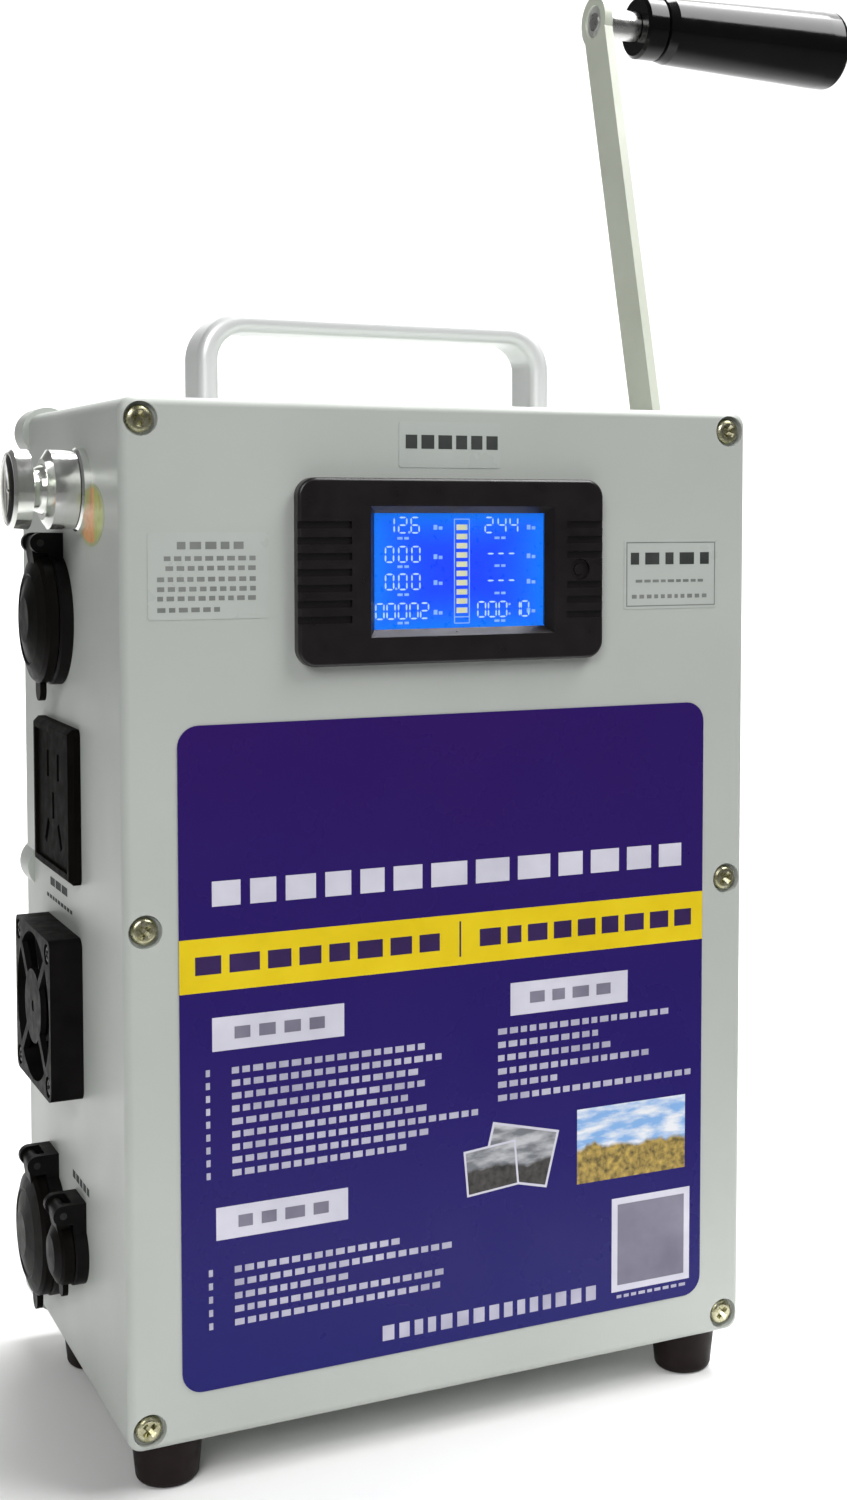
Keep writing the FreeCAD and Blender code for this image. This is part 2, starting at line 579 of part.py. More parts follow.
def dress(kind, body, amount_name, amount, chosen):
    """Fillet or chamfer the edges of the body that chosen() picks."""
    DOCUMENT.recompute()
    tip = body.Tip
    names = [f"Edge{number}" for number, edge in enumerate(tip.Shape.Edges, 1) if chosen(edge)]
    feature = body.newObject(kind, kind.split("::")[1])
    feature.Base = (tip, names)
    feature.setExpression(amount_name, size(amount).formula)
    return feature


def at_height(height):
    """Picks the edges that lie in the plane z = height."""
    level = size(height).value
    return lambda edge: abs(edge.BoundBox.ZMin - level) + abs(edge.BoundBox.ZMax - level) < 1e-4


def repeat_round(body, feature, axis_sketch, count):
    pattern = body.newObject("PartDesign::PolarPattern", "PolarPattern")
    pattern.Originals = [feature]
    pattern.Axis = (axis_sketch, ["V_Axis"])
    pattern.Angle = 360
    pattern.Occurrences = count
    body.Tip = pattern


# Directions of a piece's own x, y and z axes when it sits on a wall of the case.
FACINGS = {
    "up": ((1, 0, 0), (0, 1, 0), (0, 0, 1)),
    "down": ((1, 0, 0), (0, -1, 0), (0, 0, -1)),
    "front": ((1, 0, 0), (0, 0, 1), (0, -1, 0)),
    "left": ((0, -1, 0), (0, 0, 1), (-1, 0, 0)),
    "right": ((0, 1, 0), (0, 0, 1), (1, 0, 0)),
}

# Heights.  What sits near the top keeps its distance from the top, and the outlets and the
# fan keep theirs from the middle screw pillar, so all of them follow the case's height.
middle_z = dim.case_height / 2
meter_z = dim.case_height - dim.meter_drop
lamp_z = dim.case_height - dim.lamp_drop
upper_z = middle_z + dim.socket_rise_upper
mains_z = middle_z + dim.mains_rise
fan_z = middle_z - dim.fan_drop
crank_z = dim.case_height - dim.crank_drop

# The meter's button stands beside the screen, its collar just clear of the tub.
button_across = (dim.tub_width / 2 - dim.tub_wall - dim.meter_button_gap - dim.button_collar
                 - dim.meter_button / 2)

# Each gear pair sits its own centre distance apart, down from the crank.
DRIVE_TEETH = 48
IDLER_TEETH = 40
PINION_TEETH = 12
idler_z = crank_z - dim.gear_module * (DRIVE_TEETH + PINION_TEETH) / 2
rotor_z = idler_z - dim.gear_module * (IDLER_TEETH + PINION_TEETH) / 2

# The boards hang on the back wall: the charge board under the top, and the inverter board
# between it and the cells, beside the middle left lug.
charger_z = dim.case_height - dim.charger_drop
board_high = charger_z - dim.charger_tall / 2 - dim.charger_above
board_tall = board_high - dim.board_low
board_z = (board_high + dim.board_low) / 2
board_x = (dim.screw_inset + dim.lug / 2 + dim.board_gap + dim.board_width / 2
           - dim.case_width / 2)

# The cell tray stands against the right foot boss, and holds as many columns of cells as
# there is room for beside the contact of the lower outlet.
CELL_ROWS = 3
pack_right = dim.case_width / 2 - dim.foot_inset_side - dim.foot_boss / 2 - dim.pack_gap
cell_room = (pack_right - dim.tray_wall + dim.case_width / 2 - dim.socket_deep
             - dim.centre_tail)
CELL_COLUMNS = int(cell_room.value // dim.cell_pitch.value)
pack_x = pack_right - dim.tray_wall - dim.cell_pitch * CELL_COLUMNS / 2

# The lamp reaches furthest to the left, the grip to the right and to the back, the meter
# to the front: the origin is on the floor under the middle of all that.
lamp_reach = dim.lamp_ball_out + dim.lamp_cup_out + dim.lamp_lens_rise
grip_start = dim.arm_out + dim.arm_thick + dim.grip_gap
grip_reach = grip_start + dim.grip_long
grip_y = dim.crank_y + sine(dim.crank_lean) * dim.crank_length
grip_z = crank_z + cosine(dim.crank_lean) * dim.crank_length
shift_x = (lamp_reach - grip_reach) / 2
shift_y = -(grip_y + dim.grip_large / 2 - dim.meter_proud) / 2
shift_z = dim.foot_tall


def place(piece, x, y, z, facing="up", turn=0.0):
    """Stand a piece at x, y, z of the case, turned about its own z axis by turn degrees."""
    directions = [Vector(*direction) for direction in FACINGS[facing]]
    spin = FreeCAD.Rotation(Vector(0, 0, 1), turn)
    piece.Placement = FreeCAD.Placement(Vector(), FreeCAD.Rotation(*directions, "XYZ") * spin)
    piece.setExpression("Placement.Base.x", (x + shift_x).formula)
    piece.setExpression("Placement.Base.y", (y + shift_y).formula)
    piece.setExpression("Placement.Base.z", (z + shift_z).formula)


def group(name, master, places, facing, turn=0.0):
    """One node of equal pieces: links to a master, each at its own place."""
    links = []
    for x, y, z in places:
        link = DOCUMENT.addObject("App::Link", "copy_of_" + name)
        link.LinkedObject = master
        place(link, size(x), size(y), size(z), facing, turn)
        links.append(link)
    compound = DOCUMENT.addObject("Part::Compound", name)
    compound.Label = name
    compound.Links = links
    NODES[name] = compound


NODES = {}


def keep(piece, x, y, z, facing="up", turn=0.0):
    place(piece, size(x), size(y), size(z), facing, turn)
    NODES[piece.Label] = piece


left_wall = -dim.case_width / 2
right_wall = dim.case_width / 2


# ---------------------------------------------------------------- case

def screw_axes():
    """The six cover screws: both upper corners, both sides at half height, both lower."""
    across = dim.case_width / 2 - dim.screw_inset
    heights = (dim.screw_inset, middle_z, dim.case_height - dim.screw_inset)
    return [(side * across, height) for side in (-1, 1) for height in heights]


def foot_axes(back):
    """The two feet near the front face, or the two near the back."""
    across = dim.case_width / 2 - dim.foot_inset_side
    deep = dim.case_depth - dim.foot_inset_back if back else dim.foot_inset_front
    return [(side * across, deep) for side in (-1, 1)]


def board_standoffs():
    """Standoffs on the back wall for the inverter board and the charge board."""
    axes = []
    for x, z, width, tall in (
            (board_x, board_z, dim.board_width, board_tall),
            (board_x, charger_z, dim.charger_width, dim.charger_tall)):
        for side in (-1, 1):
            for level in (-1, 1):
                axes.append((x + side * (width / 2 - dim.standoff_inset),
                             z + level * (tall / 2 - dim.standoff_inset)))
    return axes


def case_outline(sketch, inset=0.0, corner=None):
    """The case seen from the front, moved inwards by inset."""
    rounded_rectangle(sketch, 0.0, dim.case_height / 2, dim.case_width - 2 * size(inset),
                      dim.case_height - 2 * size(inset), corner or dim.case_corner)


def circles(body, plane, offset, centres, diameter):
    sketch = sketch_on(body, plane, offset)
    for x, y in centres:
        circle(sketch, x, y, diameter)
    return sketch


def gasket_ring(sketch):
    inner = dim.gasket_inset + dim.gasket_width
    case_outline(sketch, dim.gasket_inset, dim.case_corner - dim.gasket_inset)
    case_outline(sketch, inner, dim.case_corner - inner)


def foot_screw_bosses(body, back):
    """Bosses on the floor of the case with the holes for the foot screws."""
    centres = [(x, -y) for x, y in foot_axes(back)]
    boss_top = dim.case_wall + dim.foot_boss_tall
    pad(body, circles(body, "XZ", -boss_top, centres, dim.foot_boss),
        boss_top - dim.case_wall / 2)
    pocket(body, circles(body, "XZ", 0.0, centres, dim.foot_screw), boss_top)


def case_base():
    """The deep rear shell.  Its z axis points out of the front, and it lies behind z = 0."""
    body = new_body("case_base")
    rim, back = -dim.lid_depth, -dim.case_depth
    shell = sketch_on(body, "XY", back)
    case_outline(shell)
    pad(body, shell, dim.case_depth - dim.lid_depth)
    dress("PartDesign::Fillet", body, "Radius", dim.case_edge, at_height(back))
    cavity = sketch_on(body, "XY", rim)
    case_outline(cavity, dim.case_wall, dim.case_inner_corner)
    pocket(body, cavity, dim.case_depth - dim.lid_depth - dim.case_wall)
    wall_middle = back + dim.case_wall / 2
    pillars = circles(body, "XY", wall_middle, screw_axes(), dim.pillar)
    pad(body, pillars, rim - wall_middle)
    lugs = circles(body, "XY", back, screw_axes(), dim.lug)
    pad(body, lugs, dim.lug_depth)
    standoffs = circles(body, "XY", wall_middle, board_standoffs(), dim.standoff)
    pad(body, standoffs, dim.case_wall / 2 + dim.standoff_tall)
    foot_screw_bosses(body, back=True)
    groove = sketch_on(body, "XY", rim)
    gasket_ring(groove)
    pocket(body, groove, dim.gasket_depth)
    pocket(body, circles(body, "XY", rim, screw_axes(), dim.insert), dim.insert_long)
    screw_room = dim.lid_screw_reach + dim.cut_spare
    pocket(body, circles(body, "XY", rim, screw_axes(), dim.lid_screw), screw_room)

    # Openings of the left wall.  A side wall's sketch has z upwards as its x axis.
    through = dim.case_wall + dim.cut_spare
    left = sketch_on(body, "YZ", left_wall)
    circle(left, lamp_z, -dim.lamp_y, dim.lamp_stem)
    outlet_hole = dim.socket_barrel + 2 * dim.socket_play
    circle(left, upper_z, -dim.socket_y_upper, outlet_hole)
    circle(left, dim.socket_z_lower, -dim.socket_y_lower, outlet_hole)
    circle(left, dim.charge_z, -dim.charge_y, dim.charge_barrel)
    bar(left, mains_z, -dim.mains_y, dim.mains_body_tall, dim.mains_body_width)
    circle(left, fan_z, -dim.fan_y, dim.fan_duct - 2 * dim.fan_hole_ledge)
    for up in (-1, 1):
        for along in (-1, 1):
            circle(left, fan_z + up * dim.fan_screw_pitch / 2,
                   -dim.fan_y + along * dim.fan_screw_pitch / 2, dim.fan_screw)
    pocket(body, left, through, reverse=True)

    # Openings of the right wall: the crank bearing and its three screws.
    right = sketch_on(body, "YZ", right_wall)
    circle(right, crank_z, -dim.crank_y, dim.bearing_barrel)
    for up, along in bearing_screw_axes():
        circle(right, crank_z + up, -dim.crank_y - along, dim.bearing_screw)
    pocket(body, right, through)

    # Handle screw holes in the top.
    legs = [(side * dim.handle_span / 2, -dim.handle_back) for side in (-1, 1)]
    top_inside = -(dim.case_height - dim.case_wall)
    pocket(body, circles(body, "XZ", top_inside, legs, dim.handle_screw), through)
    keep(body, 0.0, 0.0, 0.0, "front")


def case_lid():
    """The front cover: a shallow shell with the screw towers and the meter cut-out."""
    body = new_body("case_lid")
    rim = -dim.lid_depth
    shell = sketch_on(body, "XY", rim)
    case_outline(shell)
    pad(body, shell, dim.lid_depth)
    dress("PartDesign::Fillet", body, "Radius", dim.case_edge, at_height(0.0))
    cavity = sketch_on(body, "XY", rim)
    case_outline(cavity, dim.case_wall, dim.case_inner_corner)
    pocket(body, cavity, dim.lid_depth - dim.case_wall, reverse=True)
    towers = circles(body, "XY", rim, screw_axes(), dim.pillar)
    pad(body, towers, dim.lid_depth - dim.case_wall / 2)
    foot_screw_bosses(body, back=False)
    sink = dim.lid_screw_head + 2 * dim.lid_screw_play
    pocket(body, circles(body, "XY", 0.0, screw_axes(), sink), dim.lid_screw_sink)
    pocket(body, circles(body, "XY", 0.0, screw_axes(), dim.lid_screw), dim.lid_depth)
    window = sketch_on(body, "XY", 0.0)
    rounded_rectangle(window, dim.meter_across, meter_z, dim.tub_width + 2 * dim.tub_play,
                      dim.tub_tall + 2 * dim.tub_play, dim.tub_hole_corner)
    pocket(body, window, dim.case_wall)
    keep(body, 0.0, 0.0, 0.0, "front")


def lid_gasket():
    body = new_body("lid_gasket")
    ring = sketch_on(body, "XY", -dim.lid_depth - dim.gasket_depth)
    gasket_ring(ring)
    pad(body, ring, dim.gasket_depth)
    keep(body, 0.0, 0.0, 0.0, "front")


# A pan head's straight edge as a share of its height, and its flat top of its radius.
HEAD_BRIM_SHARE, HEAD_CROWN_SHARE = 0.45, 0.55


def lid_screw():
    """Pan head screw; its z axis points out of the cover, and its seat is at z = 0."""
    master = new_body("lid_screw")
    head, shank = dim.lid_screw_head / 2, dim.lid_screw / 2
    tip = -(dim.lid_depth - dim.lid_screw_sink + dim.lid_screw_reach)
    brim = HEAD_BRIM_SHARE * dim.lid_screw_head_tall
    crown = HEAD_CROWN_SHARE * head
    revolve(master, [(0.0, tip), (shank, tip), (shank, 0.0), (head, 0.0), (head, brim),
                     (crown, dim.lid_screw_head_tall), (0.0, dim.lid_screw_head_tall)])
    group("lid_screws", master, [(x, dim.lid_screw_sink, z) for x, z in screw_axes()], "front")


def screw_insert():
    master = new_body("screw_insert")
    inner, outer = dim.lid_screw / 2, dim.insert / 2
    revolve(master, [(inner, -dim.insert_long), (outer, -dim.insert_long), (outer, 0.0),
                     (inner, 0.0)])
    group("screw_inserts", master, [(x, dim.lid_depth, z) for x, z in screw_axes()], "front")


def rubber_foot():
    """Tapered foot; its z axis points down from the underside of the case."""
    master = new_body("rubber_foot")
    bore, recess = dim.foot_screw / 2, dim.foot_screw_head / 2 + dim.foot_sink_play
    top, bottom = dim.foot_top / 2, dim.foot_bottom / 2
    revolve(master, [(bore, 0.0), (top, 0.0), (bottom, dim.foot_tall - dim.foot_round,
                                               dim.foot_round),
                     (bottom - dim.foot_round, dim.foot_tall), (recess, dim.foot_tall),
                     (recess, dim.foot_tall - dim.foot_sink),
                     (bore, dim.foot_tall - dim.foot_sink)])
    places = [(x, y, 0.0) for x, y in foot_axes(False) + foot_axes(True)]
    group("rubber_feet", master, places, "down")


def foot_screw():
    master = new_body("foot_screw")
    seat = dim.foot_tall - dim.foot_sink
    head, shank = dim.foot_screw_head / 2, dim.foot_screw / 2
    tip = -(dim.case_wall + dim.foot_boss_tall - dim.foot_screw_short)
    revolve(master, [(0.0, tip), (shank, tip), (shank, seat), (head, seat),
                     (head, seat + dim.foot_screw_head_tall),
                     (0.0, seat + dim.foot_screw_head_tall)])
    places = [(x, y, 0.0) for x, y in foot_axes(False) + foot_axes(True)]
    group("foot_screws", master, places, "down")


def carry_handle():
    """A flat oval bar bent to a U, with a blind screw hole up each leg."""
    body = new_body("carry_handle")
    leg, bend = dim.handle_span / 2, dim.handle_bend
    crest = dim.handle_tall - dim.handle_thick / 2
    section = sketch_on(body, "XY")
    rounded_rectangle(section, -leg, 0.0, dim.handle_thick, dim.handle_deep, dim.handle_round)
    path = sketch_on(body, "XZ")
    corners = [(-leg, size(0.0)), (-leg, crest - bend), (-leg + bend, crest),
               (leg - bend, crest), (leg, crest - bend), (leg, size(0.0))]
    places = [Vector(x.value, z.value, 0) for x, z in corners]
    spine = []
    for index in range(5):
        if index % 2:
            curve = path.addGeometry(arc_between(places[index], places[index + 1],
                                                 -bend.value), False)
            tie(path, Sketcher.Constraint("Radius", curve, bend.value), bend.formula)
            spine.append((curve, 2, 1))
        else:
            curve = path.addGeometry(Part.LineSegment(places[index], places[index + 1]), False)
            spine.append((curve, 1, 2))
    for index, (curve, start, end) in enumerate(spine):
        pin(path, curve, start, *corners[index])
        if index < 4:
            path.addConstraint(Sketcher.Constraint("Coincident", curve, end,
                                                   spine[index + 1][0], spine[index + 1][1]))
    pin(path, spine[4][0], spine[4][2], *corners[5])
    pipe = body.newObject("PartDesign::AdditivePipe", "Bar")
    pipe.Profile = section
    pipe.Spine = (path, [f"Edge{number}" for number in range(1, 6)])
    holes = circles(body, "XY", 0.0, [(-leg, 0.0), (leg, 0.0)], dim.handle_screw)
    pocket(body, holes, dim.handle_screw_reach + dim.cut_spare, reverse=True)
    keep(body, 0.0, dim.handle_back, dim.case_height)


def handle_screw():
    """Screws from inside the case up into the legs of the handle."""
    master = new_body("handle_screw")
    head, shank = dim.handle_screw_head / 2, dim.handle_screw / 2
    seat = -dim.case_wall
    revolve(master, [(0.0, seat - dim.handle_screw_head_tall),
                     (head, seat - dim.handle_screw_head_tall), (head, seat), (shank, seat),
                     (shank, dim.handle_screw_reach), (0.0, dim.handle_screw_reach)])
    legs = [(side * dim.handle_span / 2, dim.handle_back, dim.case_height) for side in (-1, 1)]
    group("handle_screws", master, legs, "up")


# ---------------------------------------------------------------- meter

def meter_place(piece):
    keep(piece, dim.meter_across, 0.0, meter_z, "front")


def meter_bezel():
    """Bezel and tub in one moulding; z = 0 is the front face of the case."""
    body = new_body("meter_bezel")
    front = dim.meter_proud
    plate = sketch_on(body, "XY")
    rounded_rectangle(plate, 0.0, 0.0, dim.meter_width, dim.meter_tall, dim.meter_corner)
    pad(body, plate, front)
    dress("PartDesign::Fillet", body, "Radius", dim.meter_edge, at_height(front))
    tub = sketch_on(body, "XY")
    bar(tub, 0.0, 0.0, dim.tub_width, dim.tub_tall)
    bar(tub, 0.0, 0.0, dim.tub_width - 2 * dim.tub_wall, dim.tub_tall - 2 * dim.tub_wall)
    pad(body, tub, dim.tub_deep, reverse=True)
    opening = sketch_on(body, "XY", front)
    bar(opening, dim.screen_across, 0.0, dim.screen_width, dim.screen_tall)
    pocket(body, opening, front)
    bevel = body.newObject("PartDesign::SubtractiveLoft", "Bevel")
    wide = sketch_on(body, "XY", front)
    bar(wide, dim.screen_across, 0.0, dim.screen_width + 2 * dim.screen_bevel,
        dim.screen_tall + 2 * dim.screen_bevel)
    narrow = sketch_on(body, "XY", dim.window_thick)
    bar(narrow, dim.screen_across, 0.0, dim.screen_width, dim.screen_tall)
    bevel.Profile = wide
    bevel.Sections = [narrow]
    body.Tip = bevel
    grooves = sketch_on(body, "XY", front)
    edge = dim.meter_width / 2 + dim.cut_spare
    long_left = dim.groove_long_left + dim.cut_spare
    long_right = dim.groove_long_right + dim.cut_spare
    for step in range(-3, 4):
        level = step * dim.groove_pitch
        bar(grooves, -edge + long_left / 2, level, long_left, dim.groove_wide)
        if step != 0:
            bar(grooves, edge - long_right / 2, level, long_right, dim.groove_wide)
    pocket(body, grooves, dim.groove_deep)
    button = [(button_across, 0.0)]
    dish = circles(body, "XY", front, button, 2 * dim.meter_button)
    pocket(body, dish, dim.groove_deep)
    hole = dim.meter_button + 2 * dim.meter_button_play
    pocket(body, circles(body, "XY", front, button, hole), front)
    meter_place(body)


def meter_insides():
    """Clear window, display module and circuit board, stacked behind the bezel."""
    window = new_body("meter_window")
    pane = sketch_on(window, "XY")
    bar(pane, dim.screen_across, 0.0, dim.screen_width, dim.screen_tall)
    pad(window, pane, dim.window_thick)
    meter_place(window)

    display = new_body("meter_lcd")
    module = sketch_on(display, "XY")
    bar(module, dim.screen_across, 0.0, dim.screen_width + 2 * dim.lcd_border,
        dim.screen_tall + 2 * dim.lcd_border)
    pad(display, module, dim.lcd_thick, reverse=True)
    meter_place(display)

    board = new_body("meter_board")
    panel = sketch_on(board, "XY", -dim.lcd_thick)
    bar(panel, 0.0, 0.0, dim.tub_width - 2 * dim.tub_wall, dim.tub_tall - 2 * dim.tub_wall)
    pad(board, panel, dim.meter_board_thick, reverse=True)
    meter_place(board)


def meter_button():
    """Plunger that stands in its hole, with a collar behind the bezel to keep it in."""
    body = new_body("meter_button")
    stem, collar = dim.meter_button / 2, dim.meter_button / 2 + dim.button_collar
    end = dim.meter_proud - dim.groove_deep + dim.meter_button_proud
    inner = -(dim.lcd_thick - dim.meter_button_travel - dim.meter_button_rest)
    high = -dim.button_collar_back
    low = high - dim.button_collar_thick
    revolve(body, [(0.0, inner), (stem, inner), (stem, low), (collar, low), (collar, high),
                   (stem, high), (stem, end), (0.0, end)])
    keep(body, dim.meter_across + button_across, 0.0, meter_z, "front")


# ---------------------------------------------------------------- lamp

def hex_nut(name, flats, bore, thick):
    """A hexagon nut that stands on z = 0, with its bore."""
    body = new_body(name)
    plan = sketch_on(body, "XY")
    hexagon(plan, flats)
    circle(plan, 0.0, 0.0, bore)
    pad(body, plan, thick)
    return body


def lamp():
    """Swivel lamp: a flange on the wall, a collar that turns on it, a head on a ball."""
    out = dim.lamp_ball_out
    seat = dim.lamp_ball + dim.lamp_ball_play
    flange, barrel = dim.lamp_flange / 2, dim.lamp_barrel / 2
    spigot, wire, stem = dim.lamp_spigot / 2, dim.lamp_wire / 2, dim.lamp_stem / 2
    thick, bevel = dim.lamp_flange_thick, dim.lamp_flange_bevel
    floor = thick + dim.lamp_spigot_long
    base = new_body("lamp_base")
    revolve(base, [(wire, -dim.lamp_stem_long), (stem, -dim.lamp_stem_long), (stem, 0.0),
                   (flange, 0.0), (flange, thick - bevel), (flange - bevel, thick),
                   (spigot, thick), (spigot, floor), (wire, floor)])
    keep(base, left_wall, dim.lamp_y, lamp_z, "left")

    nut = hex_nut("lamp_nut", dim.lamp_nut_flats, dim.lamp_stem, dim.lamp_nut_thick)
    keep(nut, left_wall + dim.case_wall + dim.lamp_nut_thick, dim.lamp_y, lamp_z, "left")

    # The collar's mouth closes past the ball's middle and so holds it.
    collar = new_body("lamp_collar")
    bore = spigot + dim.shaft_play
    low, step = thick + dim.lamp_collar_gap, floor + dim.lamp_seat_gap
    mouth, slope = out + dim.lamp_mouth, dim.lamp_mouth_slope
    at_step = root(seat * seat - (out - step) * (out - step))
    at_mouth = root(seat * seat - (mouth - out) * (mouth - out))
    revolve(collar, [(bore, low), (barrel, low), (barrel, mouth - slope),
                     (barrel - dim.lamp_mouth_width, mouth), (at_mouth, mouth, -seat),
                     (at_step, step), (bore, step)])
    keep(collar, left_wall, dim.lamp_y, lamp_z, "left")

    # The head: a ball cut flat behind, a neck, and a cup for the light.
    head = new_body("lamp_head")
    ball, neck = dim.lamp_ball, dim.lamp_neck / 2
    flat = out - dim.lamp_ball_flat
    at_flat = root(ball * ball - (out - flat) * (out - flat))
    top = out + root(ball * ball - neck * neck)
    cup_back, cup_front = out + dim.lamp_cup_back, out + dim.lamp_cup_out
    pit, lip = barrel - dim.lamp_cup_wall, dim.lamp_cup_bevel
    pit_floor = cup_back + dim.lamp_cup_floor
    revolve(head, [(wire, flat), (at_flat, flat, ball), (neck, top), (barrel, cup_back),
                   (barrel, cup_front - lip), (barrel - lip, cup_front), (pit, cup_front),
                   (pit, pit_floor), (wire, pit_floor)])
    keep(head, left_wall, dim.lamp_y, lamp_z, "left")

    led = new_body("lamp_led")
    plate, chip = pit_floor + dim.led_plate, dim.led_chip / 2
    revolve(led, [(0.0, pit_floor), (pit, pit_floor), (pit, plate), (chip, plate),
                  (chip, plate + dim.led_rise), (0.0, plate + dim.led_rise)])
    keep(led, left_wall, dim.lamp_y, lamp_z, "left")

    lens = new_body("lamp_lens")
    glass, rise = cup_front - dim.lamp_lens_edge, dim.lamp_lens_rise
    crown = (pit * pit + rise * rise) / (2 * rise)
    revolve(lens, [(0.0, glass), (pit, glass), (pit, cup_front, crown),
                   (0.0, cup_front + rise)])
    keep(lens, left_wall, dim.lamp_y, lamp_z, "left")


# ---------------------------------------------------------------- outlets with hinged caps

# Where a hinge's tongue and lug start inside the round, as shares of its radius, and how
# far the lug is cut back round the pin, as shares of the lug's radius.
TONGUE_START_SHARE, LUG_START_SHARE = 0.72, 0.75
LUG_BACK_SHARE, LUG_LOW_SHARE = 0.8, 0.6


def hinge_ears(body, pin_up, pin_out, flange_thick, flange_radius):
    """A tongue on the flange with two ears that hold the hinge pin."""
    half = dim.hinge_width / 2
    reach = pin_up + dim.hinge_ear_radius
    tongue = sketch_on(body, "XY")
    inside = flange_radius * TONGUE_START_SHARE
    outline(tongue, [(-half, inside), (half, inside), (half, reach), (-half, reach)])
    pad(body, tongue, flange_thick)
    ear, low = dim.hinge_ear_radius, flange_thick - dim.hinge_ear_root
    for side in (-1, 1):
        start = -half if side < 0 else half - dim.hinge_ear
        profile = sketch_on(body, "YZ", start)
        outline(profile, [(pin_up - ear, low), (pin_up + ear, low),
                          (pin_up + ear, pin_out, ear), (pin_up, pin_out + ear, ear),
                          (pin_up - ear, pin_out)])
        pad(body, profile, dim.hinge_ear)
    bore = sketch_on(body, "YZ", -half)
    circle(bore, pin_up, pin_out, dim.hinge_pin)
    pocket(body, bore, dim.hinge_width, reverse=True)


def hinge_lug(body, pin_up, pin_out, cap_edge, cap_low, cap_high):
    """The lug of a cap, round the hinge pin between the ears."""
    half = dim.hinge_width / 2 - dim.hinge_ear - dim.hinge_side_gap
    lug = dim.hinge_lug
    inside, back = cap_edge * LUG_START_SHARE, pin_up - lug * LUG_BACK_SHARE
    profile = sketch_on(body, "YZ", -half)
    outline(profile, [(inside, cap_low), (back, cap_low),
                      (back, pin_out - lug * LUG_LOW_SHARE, lug),
                      (pin_up, pin_out - lug, lug), (pin_up + lug, pin_out, lug),
                      (pin_up, pin_out + lug), (inside, cap_high)])
    pad(body, profile, 2 * half)
    bore = sketch_on(body, "YZ", -half)
    circle(bore, pin_up, pin_out, dim.hinge_pin + 2 * dim.hinge_play)
    pocket(body, bore, 2 * half, reverse=True)


TAB_START_SHARE = 0.8


def pull_tab(body, edge, low, thick, wide, reach):
    """The thumb tab below a cap."""
    tab = sketch_on(body, "XY", low)
    start, bend, half = -edge * TAB_START_SHARE, -(edge + reach - wide / 2), wide / 2
    outline(tab, [(-half, start), (-half, bend, half), (size(0.0), -(edge + reach), half),
                  (half, bend), (half, start)])
    pad(body, tab, thick)


# The rings of an outlet cap's dome as (share of the radius, share of the rise).
CAP_RINGS = ((0.72, 0.55), (0.68, 0.4), (0.35, 1.0))


def outlet(name, y, z):
    """A round twelve volt outlet: moulded body, metal sleeve and hinged rubber cap."""
    flange, barrel = dim.socket_flange / 2, dim.socket_barrel / 2
    sleeve_bore = dim.socket_bore / 2
    sleeve_outer = sleeve_bore + dim.sleeve_wall
    thick, deep = dim.socket_flange_thick, dim.socket_deep
    floor = -deep + dim.socket_floor
    well, ledge = dim.socket_well / 2, floor + dim.socket_well_deep
    low = thick + dim.cap_gap
    sleeve_top = low - dim.cap_plug_deep - dim.sleeve_sink
    contact, bevel = dim.centre_rod / 2, dim.socket_bevel
    pin_up, pin_out = dim.cap / 2 + dim.hinge_past_cap, dim.hinge_out
    body = new_body(name + "_socket_body")
    revolve(body, [(contact, -deep), (barrel, -deep), (barrel, 0.0), (flange, 0.0),
                   (flange, thick - bevel), (flange - bevel, thick), (sleeve_outer, thick),
                   (sleeve_outer, ledge), (well, ledge), (well, floor), (contact, floor)])
    hinge_ears(body, pin_up, pin_out, thick, flange)
    keep(body, left_wall, y, z, "left")

    sleeve = new_body(name + "_socket_sleeve")
    revolve(sleeve, [(sleeve_bore, ledge), (sleeve_outer, ledge), (sleeve_outer, sleeve_top),
                     (sleeve_bore, sleeve_top)])
    keep(sleeve, left_wall, y, z, "left")

    cap = new_body(name + "_socket_cap")
    edge, plug = dim.cap / 2, dim.cap_plug / 2
    rim = low + dim.cap_rim
    hollow, slope = plug - dim.cap_plug_wall, dim.cap_bevel
    rings = [(edge * share, rim + dim.cap_dome * rise) for share, rise in CAP_RINGS]
    revolve(cap, [(0.0, low), (hollow, low), (hollow, low - dim.cap_plug_deep),
                  (plug, low - dim.cap_plug_deep), (plug, low), (edge, low),
                  (edge, rim - slope), (edge - slope, rim), *rings, (0.0, rim + dim.cap_dome)])
    hinge_lug(cap, pin_up, pin_out, edge, low, rim)
    pull_tab(cap, edge, low + dim.tab_lift, dim.tab_thick, dim.tab_wide, dim.tab_long)
    keep(cap, left_wall, y, z, "left")


